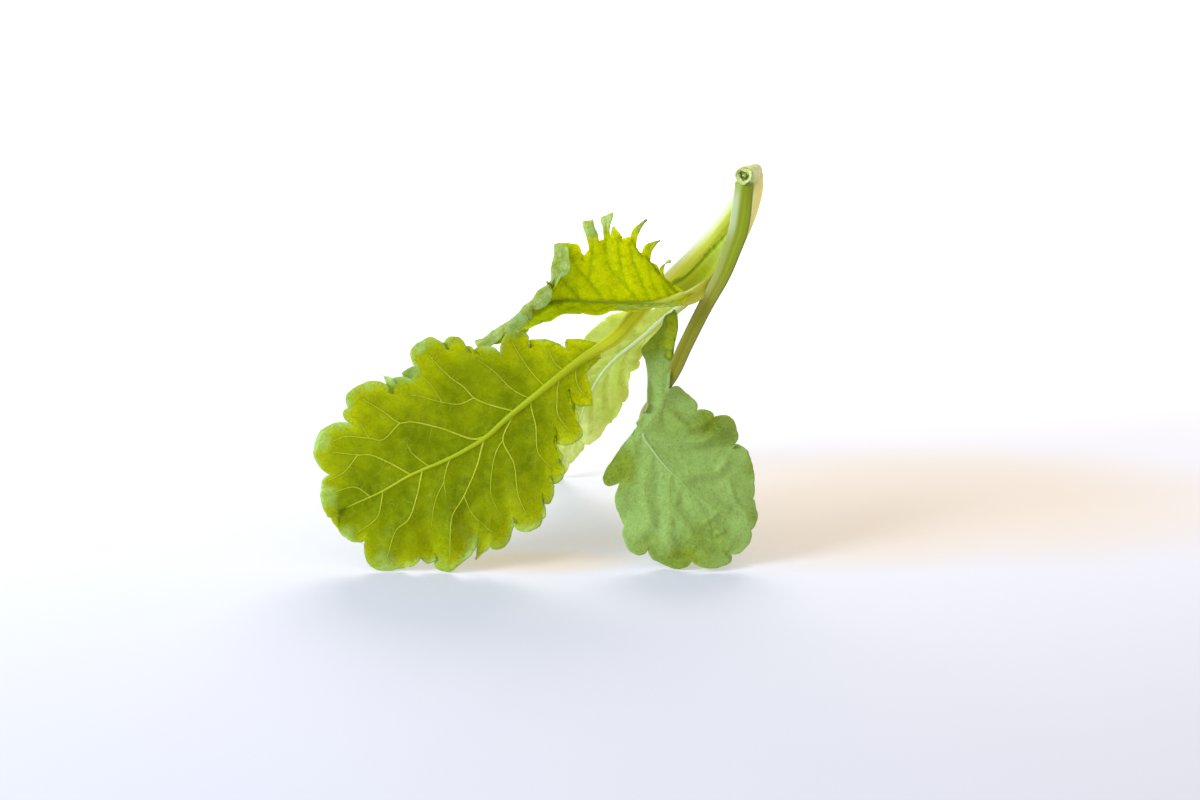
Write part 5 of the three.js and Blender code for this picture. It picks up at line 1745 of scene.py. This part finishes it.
def floor_material(settings):
    material, nodes = new_material("pale_floor")
    place = nodes.add("ShaderNodeTexCoord", output="Object")
    grain = nodes.noise(place, 1.2 * MM, 2.0)
    side, depth = (nodes.add("ShaderNodeSeparateXYZ", {}, {0: place}, axis) for axis in "XY")
    # Painted light: the floor glows more and more towards the back, fading into the white surroundings.
    far = depth.between(-0.17, 0.08) * 0.17 + depth.between(0.04, 0.3) * 0.5
    colour = nodes.blend(grain * 0.05, tuple(settings.floor_colour), (0.56, 0.56, 0.6))
    # Painted shadows: the floor is made darker and warmer at each spot.
    for x, y, reach_x, reach_y, strength in PAINTED_WARM_SHADOWS:
        across, ahead = (side - x * MM) / (reach_x * MM), (depth - y * MM) / (reach_y * MM)
        near = 1 - (across * across + ahead * ahead).between(0.0, 1.0)
        colour = nodes.blend(near * strength, colour, (0.62, 0.52, 0.42))
    normal = nodes.add("ShaderNodeBump", {}, {"Strength": 0.1, "Distance": 0.1 * MM, "Height": grain})
    glow = nodes.blend(far, (0.0, 0.0, 0.0), (1.0, 1.0, 0.99))
    surface = nodes.add(
        "ShaderNodeBsdfPrincipled",
        {},
        {"Base Color": colour, "Roughness": 0.75, "Specular IOR Level": 0.1, "Normal": normal,
         "Emission Color": glow, "Emission Strength": 1.0},
        "BSDF",
    )
    nodes.add("ShaderNodeOutputMaterial", {}, {"Surface": surface})
    return material


def build_stage(settings):
    scene = bpy.context.scene
    mesh = bpy.data.meshes.new("floor")
    reach = settings.floor_reach
    corners = [(x * reach, y * reach, 0) for x, y in ((-1, -1), (1, -1), (1, 1), (-1, 1))]
    mesh.from_pydata(corners, [], [(0, 1, 2, 3)])
    mesh.materials.append(floor_material(settings))
    floor = bpy.data.objects.new("floor", mesh)
    scene.collection.objects.link(floor)
    world = bpy.data.worlds.new("studio")
    world.use_nodes = True
    backdrop = world.node_tree.nodes["Background"]
    backdrop.inputs["Color"].default_value = (*settings.sky_colour, 1)
    backdrop.inputs["Strength"].default_value = settings.sky_strength
    scene.world = world
    middle = Vector(CAMERA_AIM) * MM
    area_light(
        "window_behind", (0.05, 0.75, 0.62), middle, (0.8, 0.4), settings.back_power, (1.0, 0.93, 0.82)
    )
    area_light(
        "window_left", (-0.75, -0.35, 0.38), middle, (0.35, 0.35), settings.left_power, (0.62, 0.8, 1.0)
    )
    scene.view_settings.view_transform = "Standard"


def build_camera():
    pitch = math.radians(CAMERA_PITCH)
    look = Vector((0, math.cos(pitch), -math.sin(pitch)))
    data = bpy.data.cameras.new("camera")
    data.lens = 90
    data.sensor_width = 36
    data.clip_start = 0.01
    data.clip_end = 20
    camera = bpy.data.objects.new("camera", data)
    bpy.context.scene.collection.objects.link(camera)
    camera.location = Vector(CAMERA_AIM) * MM - look * CAMERA_DISTANCE * MM
    camera.rotation_euler = (math.pi / 2 - pitch, 0, 0)
    bpy.context.scene.camera = camera


# What a user would change


class SprigBladeSettings(bpy.types.PropertyGroup):
    """Sizes of the blades and their veins."""

    thickness: FloatProperty(
        name="Thickness", description="Thickness of a blade", default=0.34 * MM, min=0, unit="LENGTH"
    )
    quilting: FloatProperty(
        name="Quilting", description="How far a blade puffs out between veins",
        default=0.48 * MM, unit="LENGTH"
    )
    net_relief: FloatProperty(
        name="Net relief", description="How far it puffs out between fine veins",
        default=0.07 * MM, unit="LENGTH"
    )
    pucker: FloatProperty(
        name="Pucker", description="Height of the blade's soft unevenness", default=0.3 * MM, unit="LENGTH"
    )
    crumple: FloatProperty(
        name="Crumple", description="Height of the blade's finer unevenness", default=0.12 * MM, unit="LENGTH"
    )
    mesh_cell: FloatProperty(
        name="Mesh cell", description="Space between veins of the coarser net", default=2.9 * MM, unit="LENGTH"
    )
    net_cell: FloatProperty(
        name="Net cell", description="Space between veins of the finest net", default=1.15 * MM, unit="LENGTH"
    )
    unevenness: FloatProperty(
        name="Unevenness", description="Unevenness of the lobes' edges", default=0.16 * MM, unit="LENGTH"
    )
    point_gap: FloatProperty(
        name="Point gap", description="Space between points along the margin", default=0.42 * MM, unit="LENGTH"
    )
    inner_rows: IntProperty(name="Inner rows", description="Rows from rib to lobes", default=32, min=2)
    outer_rows: IntProperty(name="Outer rows", description="Rows in the lobes", default=8, min=2)
    rib_steps: IntProperty(name="Rib steps", description="Steps along the midrib", default=130, min=8)
    vein_sides: IntProperty(name="Vein sides", description="Sides of a drawn vein's section", default=8, min=3)
    net_sides: IntProperty(name="Net sides", description="Sides of a fine vein's section", default=4, min=3)
    vein_width: FloatProperty(
        name="Vein width", description="Scales the drawn side veins", default=0.72, min=0
    )
    net_width: FloatProperty(name="Net width", description="Scales the fine veins", default=1.0, min=0)


class SprigStalkSettings(bpy.types.PropertyGroup):
    """Sizes of the stalks and the cut stem."""

    rings: IntProperty(name="Rings", description="Rings along a stalk", default=220, min=8)
    sides: IntProperty(name="Sides", description="Sides of a stalk's section", default=40, min=8)
    groove: FloatProperty(
        name="Groove", description="Depth of the groove, as a share of the radius",
        default=0.22, subtype="FACTOR"
    )
    wing: FloatProperty(
        name="Wing", description="Height of the wings, as a share of the radius",
        default=0.22, subtype="FACTOR"
    )


class SprigStageSettings(bpy.types.PropertyGroup):
    """Floor, lights and surroundings."""

    floor_colour: FloatVectorProperty(
        name="Floor", description="Colour of the floor",
        default=(0.612, 0.605, 0.662), subtype="COLOR", min=0, max=1
    )
    floor_reach: FloatProperty(
        name="Floor reach", description="Half the floor's width", default=3.0, unit="LENGTH"
    )
    sky_colour: FloatVectorProperty(
        name="Surroundings", description="Colour of the light all round", default=(1.0, 0.975, 0.955),
        subtype="COLOR", min=0, max=1,
    )
    sky_strength: FloatProperty(name="Surroundings strength", description="Light all round", default=0.76)
    back_power: FloatProperty(
        name="Back light", description="Power of the light behind", default=6.0, unit="POWER"
    )
    left_power: FloatProperty(
        name="Left light", description="Power of the light at the left", default=8.5, unit="POWER"
    )


class SPRIG_OT_blades(bpy.types.Operator):
    """Builds the four leaf blades with their puckered surface, and plans their veins"""

    bl_idname = "sprig.blades"
    bl_label = "Leaf blades"

    def execute(self, context):
        settings = context.scene.sprig_blades
        tree = pucker_tree()
        for leaf in LEAVES:
            blade = Blade(leaf, settings)
            lines_mesh(leaf["node"] + "_vein_plan", blade.plan)
            name = leaf["node"] + "_blade"
            inputs = {"Pucker": settings.pucker, "Crumple": settings.crumple, "Material": blade_material(leaf)}
            piece = grown(name, blade.mesh(name + "_sheet", settings.thickness), tree, inputs)
            keep(piece, leaf["node"])
        return {"FINISHED"}


class SPRIG_OT_veins(bpy.types.Operator):
    """Builds the side veins and the fine net that joins them, along the undersides"""

    bl_idname = "sprig.veins"
    bl_label = "Side veins and net"

    def execute(self, context):
        settings = context.scene.sprig_blades
        tree = cord_tree()
        kinds = (
            ("_veins", 0, settings.vein_sides, settings.vein_width),
            ("_net", 1, settings.net_sides, settings.net_width),
        )
        for leaf in LEAVES:
            for ending, rank, sides, width in kinds:
                material = vein_material(leaf, ending, LOOKS[leaf["node"]]["net_vein"] if rank else 1.0)
                inputs = {"Sides": sides, "Width": width, "Material": material}
                lines = vein_cord_lines(leaf, rank)
                piece = grown(leaf["node"] + ending, lines, tree, inputs)
                keep(piece)
        return {"FINISHED"}


class SPRIG_OT_stalks(bpy.types.Operator):
    """Builds the stalks, which run on into the blades as midribs"""

    bl_idname = "sprig.stalks"
    bl_label = "Stalks and midribs"

    def execute(self, context):
        settings = context.scene.sprig_stalks
        for leaf in LEAVES:
            material = stalk_material(leaf)
            keep(stalk_piece(leaf, settings, material))
            if "channel" in leaf:
                keep(channel_piece(leaf, settings, material))
        return {"FINISHED"}


class SPRIG_OT_cut_stem(bpy.types.Operator):
    """Builds the short stem with its cut face"""

    bl_idname = "sprig.cut_stem"
    bl_label = "Cut stem"

    def execute(self, context):
        piece = cut_stem_piece(context.scene.sprig_stalks, stem_material())
        keep(piece, CUT_STEM["node"])
        return {"FINISHED"}


class SPRIG_OT_stage(bpy.types.Operator):
    """Sets up the floor, lights and camera"""

    bl_idname = "sprig.stage"
    bl_label = "Stage"

    def execute(self, context):
        build_stage(context.scene.sprig_stage)
        build_camera()
        return {"FINISHED"}


class SPRIG_PT_panel(bpy.types.Panel):
    """Lists the sprig's steps and sizes"""

    bl_idname = "SPRIG_PT_panel"
    bl_label = "Mustard greens sprig"
    bl_space_type = "VIEW_3D"
    bl_region_type = "UI"
    bl_category = "Sprig"

    def draw(self, context):
        for step in STEPS:
            self.layout.operator(step.bl_idname)
        for group in (context.scene.sprig_blades, context.scene.sprig_stalks, context.scene.sprig_stage):
            box = self.layout.box()
            for name in group.__annotations__:
                box.prop(group, name)


GROUPS = {
    "sprig_blades": SprigBladeSettings,
    "sprig_stalks": SprigStalkSettings,
    "sprig_stage": SprigStageSettings,
}
STEPS = (SPRIG_OT_blades, SPRIG_OT_veins, SPRIG_OT_stalks, SPRIG_OT_cut_stem, SPRIG_OT_stage)


def register():
    for group in (*GROUPS.values(), *STEPS, SPRIG_PT_panel):
        bpy.utils.register_class(group)
    for name, group in GROUPS.items():
        setattr(bpy.types.Scene, name, PointerProperty(type=group))


def unregister():
    for name in GROUPS:
        delattr(bpy.types.Scene, name)
    for group in (SPRIG_PT_panel, *STEPS, *GROUPS.values()):
        bpy.utils.unregister_class(group)


def main():
    register()
    bpy.ops.sprig.blades()
    bpy.ops.sprig.veins()
    bpy.ops.sprig.stalks()
    bpy.ops.sprig.cut_stem()
    bpy.ops.sprig.stage()


if __name__ == "__main__":
    main()
